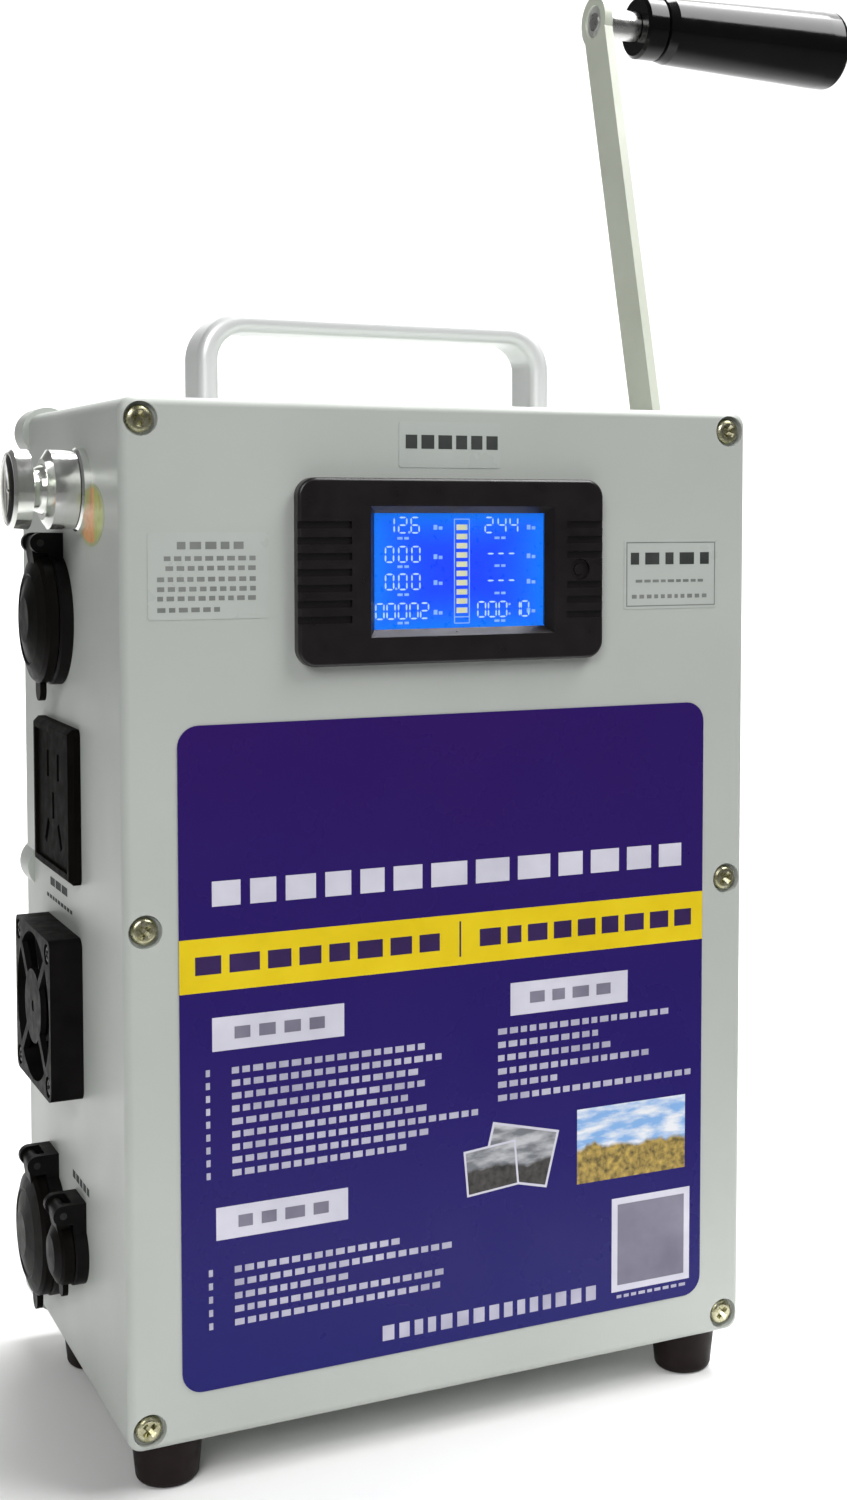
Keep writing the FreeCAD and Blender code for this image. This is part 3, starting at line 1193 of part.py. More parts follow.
def outlet_small_parts():
    """Ring nuts and centre contacts of the two outlets, and the pins of all three caps."""
    upper = (left_wall, dim.socket_y_upper, upper_z)
    lower = (left_wall, dim.socket_y_lower, dim.socket_z_lower)
    nut = new_body("socket_nut")
    inner, outer = dim.socket_barrel / 2, dim.socket_nut / 2
    low = -dim.case_wall - dim.socket_nut_thick
    revolve(nut, [(inner, low), (outer, low), (outer, -dim.case_wall), (inner, -dim.case_wall)])
    group("socket_nuts", nut, [upper, lower], "left")

    contact = new_body("socket_contact")
    rod, button = dim.centre_rod / 2, dim.centre_button / 2
    tail, floor = -dim.socket_deep - dim.centre_tail, -dim.socket_deep + dim.socket_floor
    shoulder, tip = floor + dim.centre_button_rim, floor + dim.centre_button_tall
    revolve(contact, [(0.0, tail), (rod, tail), (rod, floor), (button, floor),
                      (button, shoulder), (button / 2, tip), (0.0, tip)])
    group("socket_contacts", contact, [upper, lower], "left")

    # A pin lies along the depth of the case, which is its own x axis.
    hinge_pin = new_body("cap_hinge_pin")
    across = sketch_on(hinge_pin, "YZ", -dim.hinge_width / 2)
    circle(across, 0.0, 0.0, dim.hinge_pin)
    pad(hinge_pin, across, dim.hinge_width)
    past = dim.cap / 2 + dim.hinge_past_cap
    charge_past = dim.charge_cap / 2 + dim.hinge_past_cap
    group("cap_hinge_pins", hinge_pin, [
        (left_wall - dim.hinge_out, dim.socket_y_upper, upper_z + past),
        (left_wall - dim.hinge_out, dim.socket_y_lower, dim.socket_z_lower + past),
        (left_wall - dim.hinge_out, dim.charge_y, dim.charge_z + charge_past)], "left")


# The flat of the charge cap's crown as a share of the cap's radius.
CROWN_SHARE = 0.6


def charge_socket():
    """The small round charging socket with its own cap."""
    flange, barrel = dim.charge_flange / 2, dim.charge_barrel / 2
    bore, thick, deep = dim.charge_bore / 2, dim.charge_flange_thick, dim.charge_deep
    floor, bevel = -deep + dim.charge_floor, dim.charge_bevel
    centre = dim.charge_pin / 2
    pin_up, pin_out = dim.charge_cap / 2 + dim.hinge_past_cap, dim.hinge_out
    body = new_body("charge_socket")
    revolve(body, [(centre, -deep), (barrel, -deep), (barrel, 0.0), (flange, 0.0),
                   (flange, thick - bevel), (flange - bevel, thick), (bore, thick),
                   (bore, floor), (centre, floor)])
    hinge_ears(body, pin_up, pin_out, thick, flange)
    keep(body, left_wall, dim.charge_y, dim.charge_z, "left")

    contact = new_body("charge_contact")
    tail = -deep - dim.charge_pin_tail
    revolve(contact, [(0.0, tail), (centre, tail), (centre, -dim.charge_pin_point),
                      (centre / 2, 0.0), (0.0, 0.0)])
    keep(contact, left_wall, dim.charge_y, dim.charge_z, "left")

    nut = hex_nut("charge_nut", dim.charge_nut_flats, dim.charge_barrel, dim.charge_nut_thick)
    keep(nut, left_wall + dim.case_wall + dim.charge_nut_thick, dim.charge_y, dim.charge_z,
         "left")

    cap = new_body("charge_cap")
    edge = dim.charge_cap / 2
    low = thick + dim.cap_gap
    rim = low + dim.cap_rim
    plug = bore - dim.charge_plug_play
    hollow, plug_low = plug - dim.charge_plug_wall, low - dim.charge_plug_deep
    slope = dim.charge_cap_bevel
    revolve(cap, [(0.0, low), (hollow, low), (hollow, plug_low), (plug, plug_low), (plug, low),
                  (edge, low), (edge, rim - slope), (edge - slope, rim),
                  (edge * CROWN_SHARE, rim + dim.charge_cap_step),
                  (0.0, rim + dim.charge_cap_crown)])
    hinge_lug(cap, pin_up, pin_out, edge, low, rim)
    pull_tab(cap, edge, low + dim.tab_lift, dim.charge_tab_thick, dim.charge_tab_wide,
             dim.charge_tab_long)
    keep(cap, left_wall, dim.charge_y, dim.charge_z, "left")


# ---------------------------------------------------------------- mains outlet

SLOT_SLANT = 30.0  # degrees


def mains_slots():
    """Five slots as (across, up, turn): two above for flat pins, three below with earth."""
    slots = [(size(0.0), -dim.earth_pin_down, 0.0)]
    for side in (-1, 1):
        slots.append((side * dim.flat_pin_aside, dim.flat_pin_up, 0.0))
        slots.append((side * dim.slant_pin_aside, -dim.slant_pin_down, side * SLOT_SLANT))
    return slots


def mains_socket():
    body = new_body("mains_socket")
    face = dim.mains_proud
    bezel = sketch_on(body, "XY")
    rounded_rectangle(bezel, 0.0, 0.0, dim.mains_width, dim.mains_tall, dim.mains_corner)
    pad(body, bezel, face)
    dress("PartDesign::Chamfer", body, "Size", dim.mains_bevel, at_height(face))
    block = sketch_on(body, "XY")
    bar(block, 0.0, 0.0, dim.mains_body_width, dim.mains_body_tall)
    pad(body, block, dim.mains_deep, reverse=True)
    inset = sketch_on(body, "XY", face)
    border = 2 * (dim.mains_bevel + dim.mains_border)
    rounded_rectangle(inset, 0.0, 0.0, dim.mains_width - border, dim.mains_tall - border,
                      dim.mains_inset_corner)
    pocket(body, inset, dim.mains_inset)
    slots = sketch_on(body, "XY", face - dim.mains_inset)
    for across, up, turn in mains_slots():
        bar(slots, across, up, dim.slot_wide, dim.slot_long, turn)
    pocket(body, slots, face - dim.mains_inset + dim.mains_deep - dim.mains_floor)
    keep(body, left_wall, dim.mains_y, mains_z, "left")


def mains_contacts():
    """A contact strip at the bottom of each slot, against one of its sides."""
    body = new_body("mains_contacts")
    body.AllowCompound = True
    strips = sketch_on(body, "XY", dim.mains_floor - dim.mains_deep)
    aside = (dim.contact_thick - dim.slot_wide) / 2
    for across, up, turn in mains_slots():
        bar(strips, across, up, dim.contact_thick, dim.slot_long, turn, aside)
    pad(body, strips, dim.contact_deep)
    keep(body, left_wall, dim.mains_y, mains_z, "left")


# ---------------------------------------------------------------- fan

def fan_frame():
    """Square frame with a round duct; four struts carry the hub plate on the outside."""
    body = new_body("fan_frame")
    thick, guard = dim.fan_thick, dim.fan_guard_thick
    frame = sketch_on(body, "XY")
    rounded_rectangle(frame, 0.0, 0.0, dim.fan_side, dim.fan_side, dim.fan_corner)
    circle(frame, 0.0, 0.0, dim.fan_duct)
    pad(body, frame, thick)
    for turn in (45.0, 135.0):
        strut = sketch_on(body, "XY", thick - guard)
        bar(strut, 0.0, 0.0, dim.fan_duct + 2 * dim.fan_strut_root, dim.fan_strut, turn)
        pad(body, strut, guard)
    pad(body, circles(body, "XY", thick - guard, [(0.0, 0.0)], dim.fan_hub), guard)
    pocket(body, circles(body, "XY", thick, [(0.0, 0.0)], dim.fan_shaft + 2 * dim.shaft_play),
           guard)
    corners = [(along * dim.fan_screw_pitch / 2, up * dim.fan_screw_pitch / 2)
               for along in (-1, 1) for up in (-1, 1)]
    sink = dim.fan_screw_head + 2 * dim.fan_screw_play
    pocket(body, circles(body, "XY", thick, corners, sink), dim.fan_screw_sink)
    pocket(body, circles(body, "XY", thick, corners, dim.fan_screw), thick)
    keep(body, left_wall, dim.fan_y, fan_z, "left")


BLADES = 7


def fan_rotor():
    """Hub on its shaft with seven pitched blades."""
    body = new_body("fan_rotor")
    low, high = dim.fan_wall_gap, dim.fan_thick - dim.fan_guard_thick - dim.fan_guard_gap
    hub, shaft = dim.fan_hub / 2 - dim.fan_hub_gap, dim.fan_shaft / 2
    bevel, end = dim.fan_hub_bevel, dim.fan_thick - dim.fan_shaft_sink
    turned = revolve(body, [(0.0, low), (hub, low), (hub, high - bevel), (hub - bevel, high),
                            (shaft, high), (shaft, end), (0.0, end)])
    sections = []
    half, blade_low = dim.fan_blade_thick / 2, low + dim.fan_blade_low
    blade_high = high - dim.fan_blade_high
    for radius, run in ((hub - bevel, dim.fan_blade_root), (dim.fan_tip, dim.fan_blade_tip)):
        section = sketch_on(body, "YZ", radius)
        outline(section, [(-run / 2 - half, blade_low), (-run / 2 + half, blade_low),
                          (run / 2 + half, blade_high), (run / 2 - half, blade_high)])
        sections.append(section)
    blade = body.newObject("PartDesign::AdditiveLoft", "Blade")
    blade.Profile = sections[0]
    blade.Sections = sections[1:]
    repeat_round(body, blade, turned.Profile[0], BLADES)
    keep(body, left_wall, dim.fan_y, fan_z, "left")


def fan_screw():
    master = new_body("fan_screw")
    head, shank = dim.fan_screw_head / 2, dim.fan_screw / 2
    seat, top = dim.fan_thick - dim.fan_screw_sink, dim.fan_thick - dim.fan_screw_low
    revolve(master, [(0.0, -dim.case_wall), (shank, -dim.case_wall), (shank, seat),
                     (head, seat), (head, top), (0.0, top)])
    places = [(left_wall, dim.fan_y + along * dim.fan_screw_pitch / 2,
               fan_z + up * dim.fan_screw_pitch / 2) for along in (-1, 1) for up in (-1, 1)]
    group("fan_screws", master, places, "left")


# ---------------------------------------------------------------- crank

def bearing_screw_axes():
    """The three screws round the crank bearing, as (up, back) from the axle."""
    ring = dim.bearing_screw_ring
    angles = [math.radians(turn) for turn in (90, 210, 330)]
    return [(ring * math.sin(angle), ring * math.cos(angle)) for angle in angles]


def crank_bearing():
    body = new_body("crank_bearing")
    bore = dim.crank_shaft / 2 + dim.shaft_play
    flange, barrel, thick = dim.bearing_flange / 2, dim.bearing_barrel / 2, dim.bearing_thick
    bevel = dim.bearing_bevel
    revolve(body, [(bore, -dim.bearing_deep), (barrel, -dim.bearing_deep), (barrel, 0.0),
                   (flange, 0.0), (flange, thick - bevel), (flange - bevel, thick),
                   (bore, thick)])
    holes = [(back, up) for up, back in bearing_screw_axes()]
    pocket(body, circles(body, "XY", thick, holes, dim.bearing_screw), thick)
    keep(body, right_wall, dim.crank_y, crank_z, "right")

    screw = new_body("bearing_screw")
    head, shank = dim.bearing_screw_head / 2, dim.bearing_screw / 2
    tip = -(dim.case_wall + dim.frame_plate)
    top = thick + dim.bearing_screw_head_tall
    revolve(screw, [(0.0, tip), (shank, tip), (shank, thick), (head, thick),
                    (head, top - dim.bearing_screw_edge),
                    (head - dim.bearing_screw_slope, top), (0.0, top)])
    places = [(right_wall, dim.crank_y + back, crank_z + up)
              for up, back in bearing_screw_axes()]
    group("bearing_screws", screw, places, "right")


def crank():
    """Shaft, arm and bolt, turned together; the arm runs up and leans to the back."""
    thick = dim.arm_thick
    lean = -dim.crank_lean.value
    inner, outer = dim.arm_out, dim.arm_out + thick
    shaft = new_body("crank_shaft")
    journal, spigot, bolt = dim.crank_shaft / 2, dim.crank_spigot / 2, dim.crank_bolt / 2
    end = -(dim.case_wall + 2 * dim.frame_plate + dim.frame_gap + dim.crank_shaft_end)
    hole = inner - dim.crank_bolt_long
    revolve(shaft, [(0.0, end), (journal, end), (journal, inner), (spigot, inner),
                    (spigot, outer), (bolt, outer), (bolt, hole), (0.0, hole)])
    keep(shaft, right_wall, dim.crank_y, crank_z, "right")

    arm = new_body("crank_arm")
    length = dim.crank_length
    pad(arm, circles(arm, "XY", 0.0, [(0.0, 0.0)], 2 * dim.arm_hub_radius), thick)
    strip = sketch_on(arm, "XY")
    bar(strip, 0.0, length / 2, dim.arm_width, length)
    pad(arm, strip, thick)
    pad(arm, circles(arm, "XY", 0.0, [(0.0, length)], 2 * dim.arm_eye_radius), thick)
    pocket(arm, circles(arm, "XY", thick, [(0.0, 0.0)], dim.crank_spigot), thick)
    pocket(arm, circles(arm, "XY", thick, [(0.0, length)], dim.spindle_stub), thick)
    countersink = arm.newObject("PartDesign::SubtractiveLoft", "Countersink")
    countersink.Profile = circles(arm, "XY", 0.0, [(0.0, length)], dim.eye_mouth)
    countersink.Sections = [circles(arm, "XY", dim.eye_deep, [(0.0, length)], dim.eye_throat)]
    arm.Tip = countersink
    keep(arm, right_wall + inner, dim.crank_y, crank_z, "right", lean)

    screw = new_body("crank_bolt")
    head = sketch_on(screw, "XY", outer)
    hexagon(head, dim.crank_bolt_head)
    pad(screw, head, dim.crank_bolt_head_thick)
    pad(screw, circles(screw, "XY", outer, [(0.0, 0.0)], dim.crank_bolt), outer - hole,
        reverse=True)
    keep(screw, right_wall, dim.crank_y, crank_z, "right", lean)


def grip():
    """The grip turns freely on its spindle; a sunk round nut holds that in the arm's eye."""
    start, end = grip_start, grip_reach
    inner, outer = dim.arm_out, dim.arm_out + dim.arm_thick
    seat = end - dim.grip_sink
    spindle = new_body("grip_spindle")
    stub, shoulder, rod = dim.spindle_stub / 2, dim.spindle_shoulder / 2, dim.spindle / 2
    head = dim.spindle_head / 2
    tip, flat = inner + dim.eye_stub_sink, start - dim.grip_end_gap
    bevel = dim.spindle_head_bevel
    low, high = seat + dim.grip_end_gap, seat + dim.grip_end_gap + dim.spindle_head_thick
    revolve(spindle, [(0.0, tip), (stub, tip), (stub, outer), (shoulder, outer),
                      (shoulder, flat), (rod, flat), (rod, low), (head, low),
                      (head, high - bevel), (head - bevel, high), (0.0, high)])
    keep(spindle, right_wall, grip_y, grip_z, "right")

    # The nut fills the countersink up to a little below the face of the arm.
    nut = new_body("grip_nut")
    mouth, throat = dim.eye_mouth / 2, dim.eye_throat / 2
    face = mouth - (mouth - throat) * dim.eye_sink / dim.eye_deep
    revolve(nut, [(stub, inner + dim.eye_sink), (face, inner + dim.eye_sink),
                  (throat, inner + dim.eye_deep), (stub, inner + dim.eye_deep)])
    keep(nut, right_wall, grip_y, grip_z, "right")

    body = new_body("crank_grip")
    bore = dim.spindle / 2 + dim.shaft_play
    small, large = dim.grip_small / 2, dim.grip_large / 2
    neck, round_end = start + dim.grip_collar, dim.grip_round
    slope, groove = dim.grip_bevel, dim.grip_groove_wide
    sink = dim.spindle_head / 2 + dim.grip_sink_play
    revolve(body, [(bore, start), (small - slope, start), (small, start + slope),
                   (small, neck - groove), (small - dim.grip_groove_deep, neck - groove / 2),
                   (small, neck), (small + dim.grip_step, neck + dim.grip_step_long),
                   (large, end - 3 * round_end), (large, end - round_end, round_end),
                   (large - round_end, end), (sink, end), (sink, seat), (bore, seat)])
    keep(body, right_wall, grip_y, grip_z, "right")


# ---------------------------------------------------------------- gears

def tooth_side(teeth, radius, half_angle, pressure):
    """Half of the angle that a tooth takes at radius, on an involute flank."""
    base = dim.gear_module.value * teeth / 2 * math.cos(pressure)
    at_pitch = math.tan(pressure) - pressure
    here = math.acos(min(base / radius, 1.0))
    return half_angle + at_pitch - (math.tan(here) - here)


# Depth of a gear's tooth root below the pitch circle in modules, and where an involute
# flank gets its points between its root and its tip.
DEDENDUM = 1.25
FLANK_SHARES = (0.0, 0.4, 0.75, 1.0)


def gear_wheel(teeth, low, high, first):
    """A spur wheel about the z axis from low to high, with a tooth at first degrees."""
    module, pressure = dim.gear_module.value, math.radians(dim.gear_pressure.value)
    pitch = module * teeth / 2
    root_radius, tip = pitch - DEDENDUM * module, pitch + module
    base = pitch * math.cos(pressure)
    half = math.pi / (2 * teeth) - dim.gear_backlash.value / (2 * pitch)
    flank_low = max(base, root_radius)
    radii = [flank_low + (tip - flank_low) * share for share in FLANK_SHARES]
    side = [(radius, tooth_side(teeth, radius, half, pressure)) for radius in radii]
    if root_radius < base:
        side.insert(0, (root_radius, side[0][1]))
    points = []
    for index in range(teeth):
        middle = math.radians(first) + 2 * math.pi * index / teeth
        ring = [(radius, middle - angle) for radius, angle in side]
        ring += [(radius, middle + angle) for radius, angle in reversed(side)]
        points += [Vector(radius * math.cos(angle), radius * math.sin(angle), low)
                   for radius, angle in ring]
    face = Part.Face(Part.makePolygon(points + points[:1]))
    return face.extrude(Vector(0, 0, high - low))


def cylinder(radius, low, high):
    return Part.makeCylinder(radius, high - low, Vector(0, 0, low))


def gear_piece(name, shape, x, y, z):
    """A wheel that turns about an axis along x, as a node of its own."""
    piece = DOCUMENT.addObject("Part::Feature", name)
    piece.Label = name
    piece.Shape = shape
    keep(piece, x, y, z, "right")


WHEEL_WINDOWS = 6


def gears():
    """Two steps up in speed: crank wheel to idler pinion, idler wheel to rotor pinion."""
    bore, face = dim.crank_shaft.value / 2, dim.gear_face.value
    shaft_end = dim.bearing_deep.value
    wheel_high = -shaft_end - dim.gear_side_gap.value
    wheel_low = wheel_high - face
    drive_hub = dim.drive_hub.value / 2
    wheel = gear_wheel(DRIVE_TEETH, wheel_low, wheel_high, 0.0)
    wheel = wheel.fuse(cylinder(drive_hub, wheel_low, wheel_high + dim.drive_hub_rise.value))
    window_ring, window = dim.wheel_window_ring.value, dim.wheel_window.value / 2
    for index in range(WHEEL_WINDOWS):
        angle = math.radians(360 / WHEEL_WINDOWS * index)
        place_here = Vector(window_ring * math.cos(angle), window_ring * math.sin(angle), 0)
        hole = cylinder(window, wheel_low, wheel_high)
        hole.translate(place_here)
        wheel = wheel.cut(hole)
    wheel = wheel.cut(cylinder(bore, wheel_low, wheel_high + dim.drive_hub_rise.value))
    gear_piece("drive_gear", wheel, right_wall, dim.crank_y, crank_z)

    plate_inside = -(dim.case_wall + dim.frame_plate).value
    far_inside = plate_inside - dim.frame_gap.value
    side_gap = dim.idler_side_gap.value
    pinion_low = (wheel_low + wheel_high) / 2 - dim.pinion_face.value / 2
    pinion = gear_wheel(PINION_TEETH, pinion_low, pinion_low + dim.pinion_face.value,
                        180.0 / PINION_TEETH)
    idler_high = pinion_low - dim.idler_step.value
    idler_low = idler_high - face
    idler = gear_wheel(IDLER_TEETH, idler_low, idler_high, 0.0)
    hub = cylinder(dim.idler_hub.value / 2, far_inside + side_gap, plate_inside - side_gap)
    idler = idler.fuse([pinion, hub])
    idler_bore = dim.idler_shaft.value / 2 + dim.shaft_play.value
    idler = idler.cut(cylinder(idler_bore, far_inside, plate_inside))
    gear_piece("idler_gear", idler.removeSplitter(), right_wall, dim.crank_y, idler_z)

    middle = (idler_low + idler_high) / 2
    rotor_pinion = gear_wheel(PINION_TEETH, middle - dim.pinion_face.value / 2,
                              middle + dim.pinion_face.value / 2, 180.0 / PINION_TEETH)
    rotor_pinion = rotor_pinion.cut(cylinder(dim.rotor_shaft.value / 2, far_inside, 0.0))
    gear_piece("generator_pinion", rotor_pinion, right_wall, dim.crank_y, rotor_z)


def gearbox_frame():
    """A bent bracket on the inside of the right wall; its axes are those of the case."""
    body = new_body("gearbox_frame")
    plate = dim.frame_plate
    outside = right_wall - dim.case_wall
    inside = outside - 2 * plate - dim.frame_gap
    front, back, high = dim.frame_front, dim.frame_back, crank_z + dim.frame_above_crank
    low, low_outer = rotor_z - dim.frame_below_rotor, middle_z + dim.lug / 2 + dim.frame_lug_gap
    outer = sketch_on(body, "YZ", outside)
    outline(outer, [(front, low_outer), (back, low_outer), (back, high), (front, high)])
    pad(body, outer, plate, reverse=True)
    web = sketch_on(body, "XZ", -back)
    outline(web, [(inside, low_outer), (outside, low_outer), (outside, high), (inside, high)])
    pad(body, web, plate)
    inner = sketch_on(body, "YZ", inside)
    outline(inner, [(front, low), (back, low), (back, high), (front, high)])
    pad(body, inner, plate)
    wall_bores = sketch_on(body, "YZ", outside)
    circle(wall_bores, dim.crank_y, crank_z, dim.bearing_barrel)
    circle(wall_bores, dim.crank_y, idler_z, dim.idler_shaft)
    for up, back_step in bearing_screw_axes():
        circle(wall_bores, dim.crank_y + back_step, crank_z + up, dim.bearing_screw)
    pocket(body, wall_bores, plate)
    far_bores = sketch_on(body, "YZ", inside + plate)
    circle(far_bores, dim.crank_y, crank_z, dim.crank_shaft + 2 * dim.shaft_play)
    circle(far_bores, dim.crank_y, idler_z, dim.idler_shaft)
    circle(far_bores, dim.crank_y, rotor_z, dim.rotor_shaft + 2 * dim.shaft_play)
    pocket(body, far_bores, plate)
    keep(body, 0.0, 0.0, 0.0)

    shaft = new_body("idler_shaft")
    across = 2 * plate + dim.frame_gap
    pad(shaft, circles(shaft, "XY", 0.0, [(0.0, 0.0)], dim.idler_shaft), across)
    keep(shaft, inside, dim.crank_y, idler_z, "right")


# ---------------------------------------------------------------- generator

def generator():
    """Housing on the inner gearbox plate, coils inside it, and the rotor on its shaft."""
    inside = right_wall - dim.case_wall - 2 * dim.frame_plate - dim.frame_gap
    outer, wall, long = dim.can / 2, dim.can_wall, dim.can_long
    bearing = dim.rotor_shaft / 2 + dim.shaft_play
    shaft, rotor = dim.rotor_shaft / 2, dim.rotor / 2
    clear = rotor + dim.rotor_gap
    margin = (long - wall - dim.rotor_long) / 2
    low, high = -long + wall + margin, -margin

    # z = 0 is the plate; the housing lies on its inner side, open towards it.
    housing = new_body("generator_housing")
    revolve(housing, [(bearing, -long), (outer, -long), (outer, 0.0), (outer - wall, 0.0),
                      (outer - wall, -long + wall), (bearing, -long + wall)])
    keep(housing, inside, dim.crank_y, rotor_z, "right")

    coils = new_body("generator_coils")
    revolve(coils, [(clear, low), (outer - wall, low), (outer - wall, high), (clear, high)])
    keep(coils, inside, dim.crank_y, rotor_z, "right")

    turning = new_body("generator_rotor")
    start, end = -long - dim.rotor_shaft_tail, dim.frame_plate + dim.rotor_shaft_reach
    revolve(turning, [(0.0, start), (shaft, start), (shaft, low), (rotor, low),
                      (rotor, high), (shaft, high), (shaft, end), (0.0, end)])
    keep(turning, inside, dim.crank_y, rotor_z, "right")


# ---------------------------------------------------------------- cells and boards

def battery():
    """Upright cells in an open tray on the floor of the case."""
    pitch, floor = dim.cell_pitch, dim.tray_wall
    cell = new_body("battery_cell")
    radius, nub, tall = dim.cell / 2, dim.cell_nub / 2, dim.cell_long
    shoulder = tall - dim.cell_nub_tall
    revolve(cell, [(0.0, 0.0), (radius, 0.0), (radius, shoulder), (nub, shoulder),
                   (nub, tall), (0.0, tall)])
    places = [(pack_x + pitch * (column - (CELL_COLUMNS - 1) / 2),
               dim.pack_y + pitch * (row - (CELL_ROWS - 1) / 2), dim.case_wall + floor)
              for column in range(CELL_COLUMNS) for row in range(CELL_ROWS)]
    group("battery_cells", cell, places, "up")

    tray = new_body("battery_tray")
    wide, deep = CELL_COLUMNS * pitch, CELL_ROWS * pitch
    outside = sketch_on(tray, "XY")
    rounded_rectangle(outside, 0.0, 0.0, wide + 2 * floor, deep + 2 * floor, dim.tray_corner)
    pad(tray, outside, dim.tray_tall)
    room = sketch_on(tray, "XY", dim.tray_tall)
    bar(room, 0.0, 0.0, wide, deep)
    pocket(tray, room, dim.tray_tall - floor)
    keep(tray, pack_x, dim.pack_y, dim.case_wall)


def circuit_board(name, x, z, width, tall):
    """A board on the standoffs of the back wall, with its holes over them."""
    body = new_body(name)
    panel = sketch_on(body, "XY")
    bar(panel, 0.0, 0.0, width, tall)
    pad(body, panel, dim.board_thick)
    holes = [(across * (width / 2 - dim.standoff_inset), up * (tall / 2 - dim.standoff_inset))
             for across in (-1, 1) for up in (-1, 1)]
    pocket(body, circles(body, "XY", dim.board_thick, holes, dim.board_hole), dim.board_thick)
    keep(body, x, dim.case_depth - dim.case_wall - dim.standoff_tall, z, "front")


FINS = 8


def boards():
    circuit_board("inverter_board", board_x, board_z, dim.board_width, board_tall)
    circuit_board("charge_board", board_x, charger_z, dim.charger_width,
                  dim.charger_tall)
    sink = new_body("heat_sink")
    base = sketch_on(sink, "XY")
    bar(base, 0.0, 0.0, dim.sink_width, dim.sink_tall)
    pad(sink, base, dim.sink_base)
    fins = sketch_on(sink, "XY", dim.sink_base)
    pitch = (dim.sink_width - dim.sink_fin) / (FINS - 1)
    for index in range(FINS):
        bar(fins, pitch * (index - (FINS - 1) / 2), 0.0, dim.sink_fin, dim.sink_tall)
    pad(sink, fins, dim.sink_deep - dim.sink_base)
    front = dim.case_depth - dim.case_wall - dim.standoff_tall - dim.board_thick
    keep(sink, board_x, front, board_z - (board_tall - dim.sink_tall) / 2, "front")


case_base()
case_lid()
lid_gasket()
lid_screw()
screw_insert()
rubber_foot()
foot_screw()
carry_handle()
handle_screw()
meter_bezel()
meter_insides()
meter_button()
lamp()
outlet("upper", dim.socket_y_upper, upper_z)
outlet("lower", dim.socket_y_lower, dim.socket_z_lower)
outlet_small_parts()
charge_socket()
mains_socket()
mains_contacts()
fan_frame()
fan_rotor()
fan_screw()
crank_bearing()
crank()
grip()
gearbox_frame()
gears()
generator()
battery()
boards()

DOCUMENT.recompute()
for thing in DOCUMENT.Objects:
    if "Invalid" in thing.State or "Error" in thing.State:
        raise RuntimeError(f"{thing.Label} failed: {thing.State}")
for name, piece in NODES.items():
    if piece.Shape.isNull() or not piece.Shape.isValid():
        raise RuntimeError(f"{name} has no sound shape")
os.makedirs("parts", exist_ok=True)
for name, piece in NODES.items():
    piece.Shape.exportStep(f"parts/{name}.step")
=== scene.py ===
# %% [markdown]
# # Hand crank generator
# An upright moulded box that makes, stores and gives out power. The crank, the gears and the
# case come from the CAD frame, already in their places. This script dresses them: it gives
# every part its finish and adds what is too fine to be a solid, such as the printed label,
# the numbers of the display and the cross recesses of the screws.

# %% The frame and its box
import json
import math
import random

import bmesh
import bpy
from mathutils import Matrix, Vector


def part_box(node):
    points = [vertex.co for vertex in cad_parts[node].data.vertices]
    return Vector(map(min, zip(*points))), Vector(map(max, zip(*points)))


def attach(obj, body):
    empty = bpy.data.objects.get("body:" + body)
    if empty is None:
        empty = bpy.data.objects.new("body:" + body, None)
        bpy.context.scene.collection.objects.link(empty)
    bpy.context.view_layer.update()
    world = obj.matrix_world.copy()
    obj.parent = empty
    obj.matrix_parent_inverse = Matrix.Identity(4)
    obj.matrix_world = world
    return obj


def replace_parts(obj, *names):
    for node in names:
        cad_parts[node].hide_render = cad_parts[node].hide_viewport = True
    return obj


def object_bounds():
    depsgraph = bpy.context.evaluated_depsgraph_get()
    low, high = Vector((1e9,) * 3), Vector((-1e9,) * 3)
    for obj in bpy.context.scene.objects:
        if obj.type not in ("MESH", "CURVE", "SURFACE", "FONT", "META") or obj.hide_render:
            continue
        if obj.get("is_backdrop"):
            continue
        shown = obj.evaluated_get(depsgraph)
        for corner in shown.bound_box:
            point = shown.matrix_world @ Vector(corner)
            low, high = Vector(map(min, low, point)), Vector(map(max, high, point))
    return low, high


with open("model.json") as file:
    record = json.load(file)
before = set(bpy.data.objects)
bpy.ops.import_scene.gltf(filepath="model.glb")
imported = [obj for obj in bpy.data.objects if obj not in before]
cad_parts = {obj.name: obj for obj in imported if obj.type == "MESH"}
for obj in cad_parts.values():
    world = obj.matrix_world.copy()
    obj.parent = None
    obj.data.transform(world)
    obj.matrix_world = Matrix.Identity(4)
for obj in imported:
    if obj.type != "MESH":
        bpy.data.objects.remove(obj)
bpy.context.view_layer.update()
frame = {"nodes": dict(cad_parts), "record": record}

# %% [markdown]
# ## Places on the case
# Every printed or fitted thing on this object is placed from the case, so the script keeps
# one habit: millimetres to the right of the middle of the front, millimetres back from the
# front face, millimetres up from the underside. One function turns such a place into the
# frame's metres. The case's own box gives the starting corner, so nothing is typed twice.

# %% From millimetres on the case to metres in the frame
MM = 0.001
lid_low, lid_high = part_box("case_lid")
CASE_ORIGIN = Vector(((lid_low.x + lid_high.x) / 2, lid_low.y, lid_low.z))
HALF_WIDTH = (lid_high.x - lid_low.x) / 2 / MM


def spot(right, back, up):
    return CASE_ORIGIN + MM * Vector((right, back, up))


print("case width in mm:", round(2 * HALF_WIDTH, 2))

# %% [markdown]
# ## The camera
# The object is seen a little from the left and slightly from above, from about two thirds of
# a metre. The lens looks past the object to the right and down, as a photographer does who
# wants the uprights straight, so the camera has a small shift instead of a tilt.

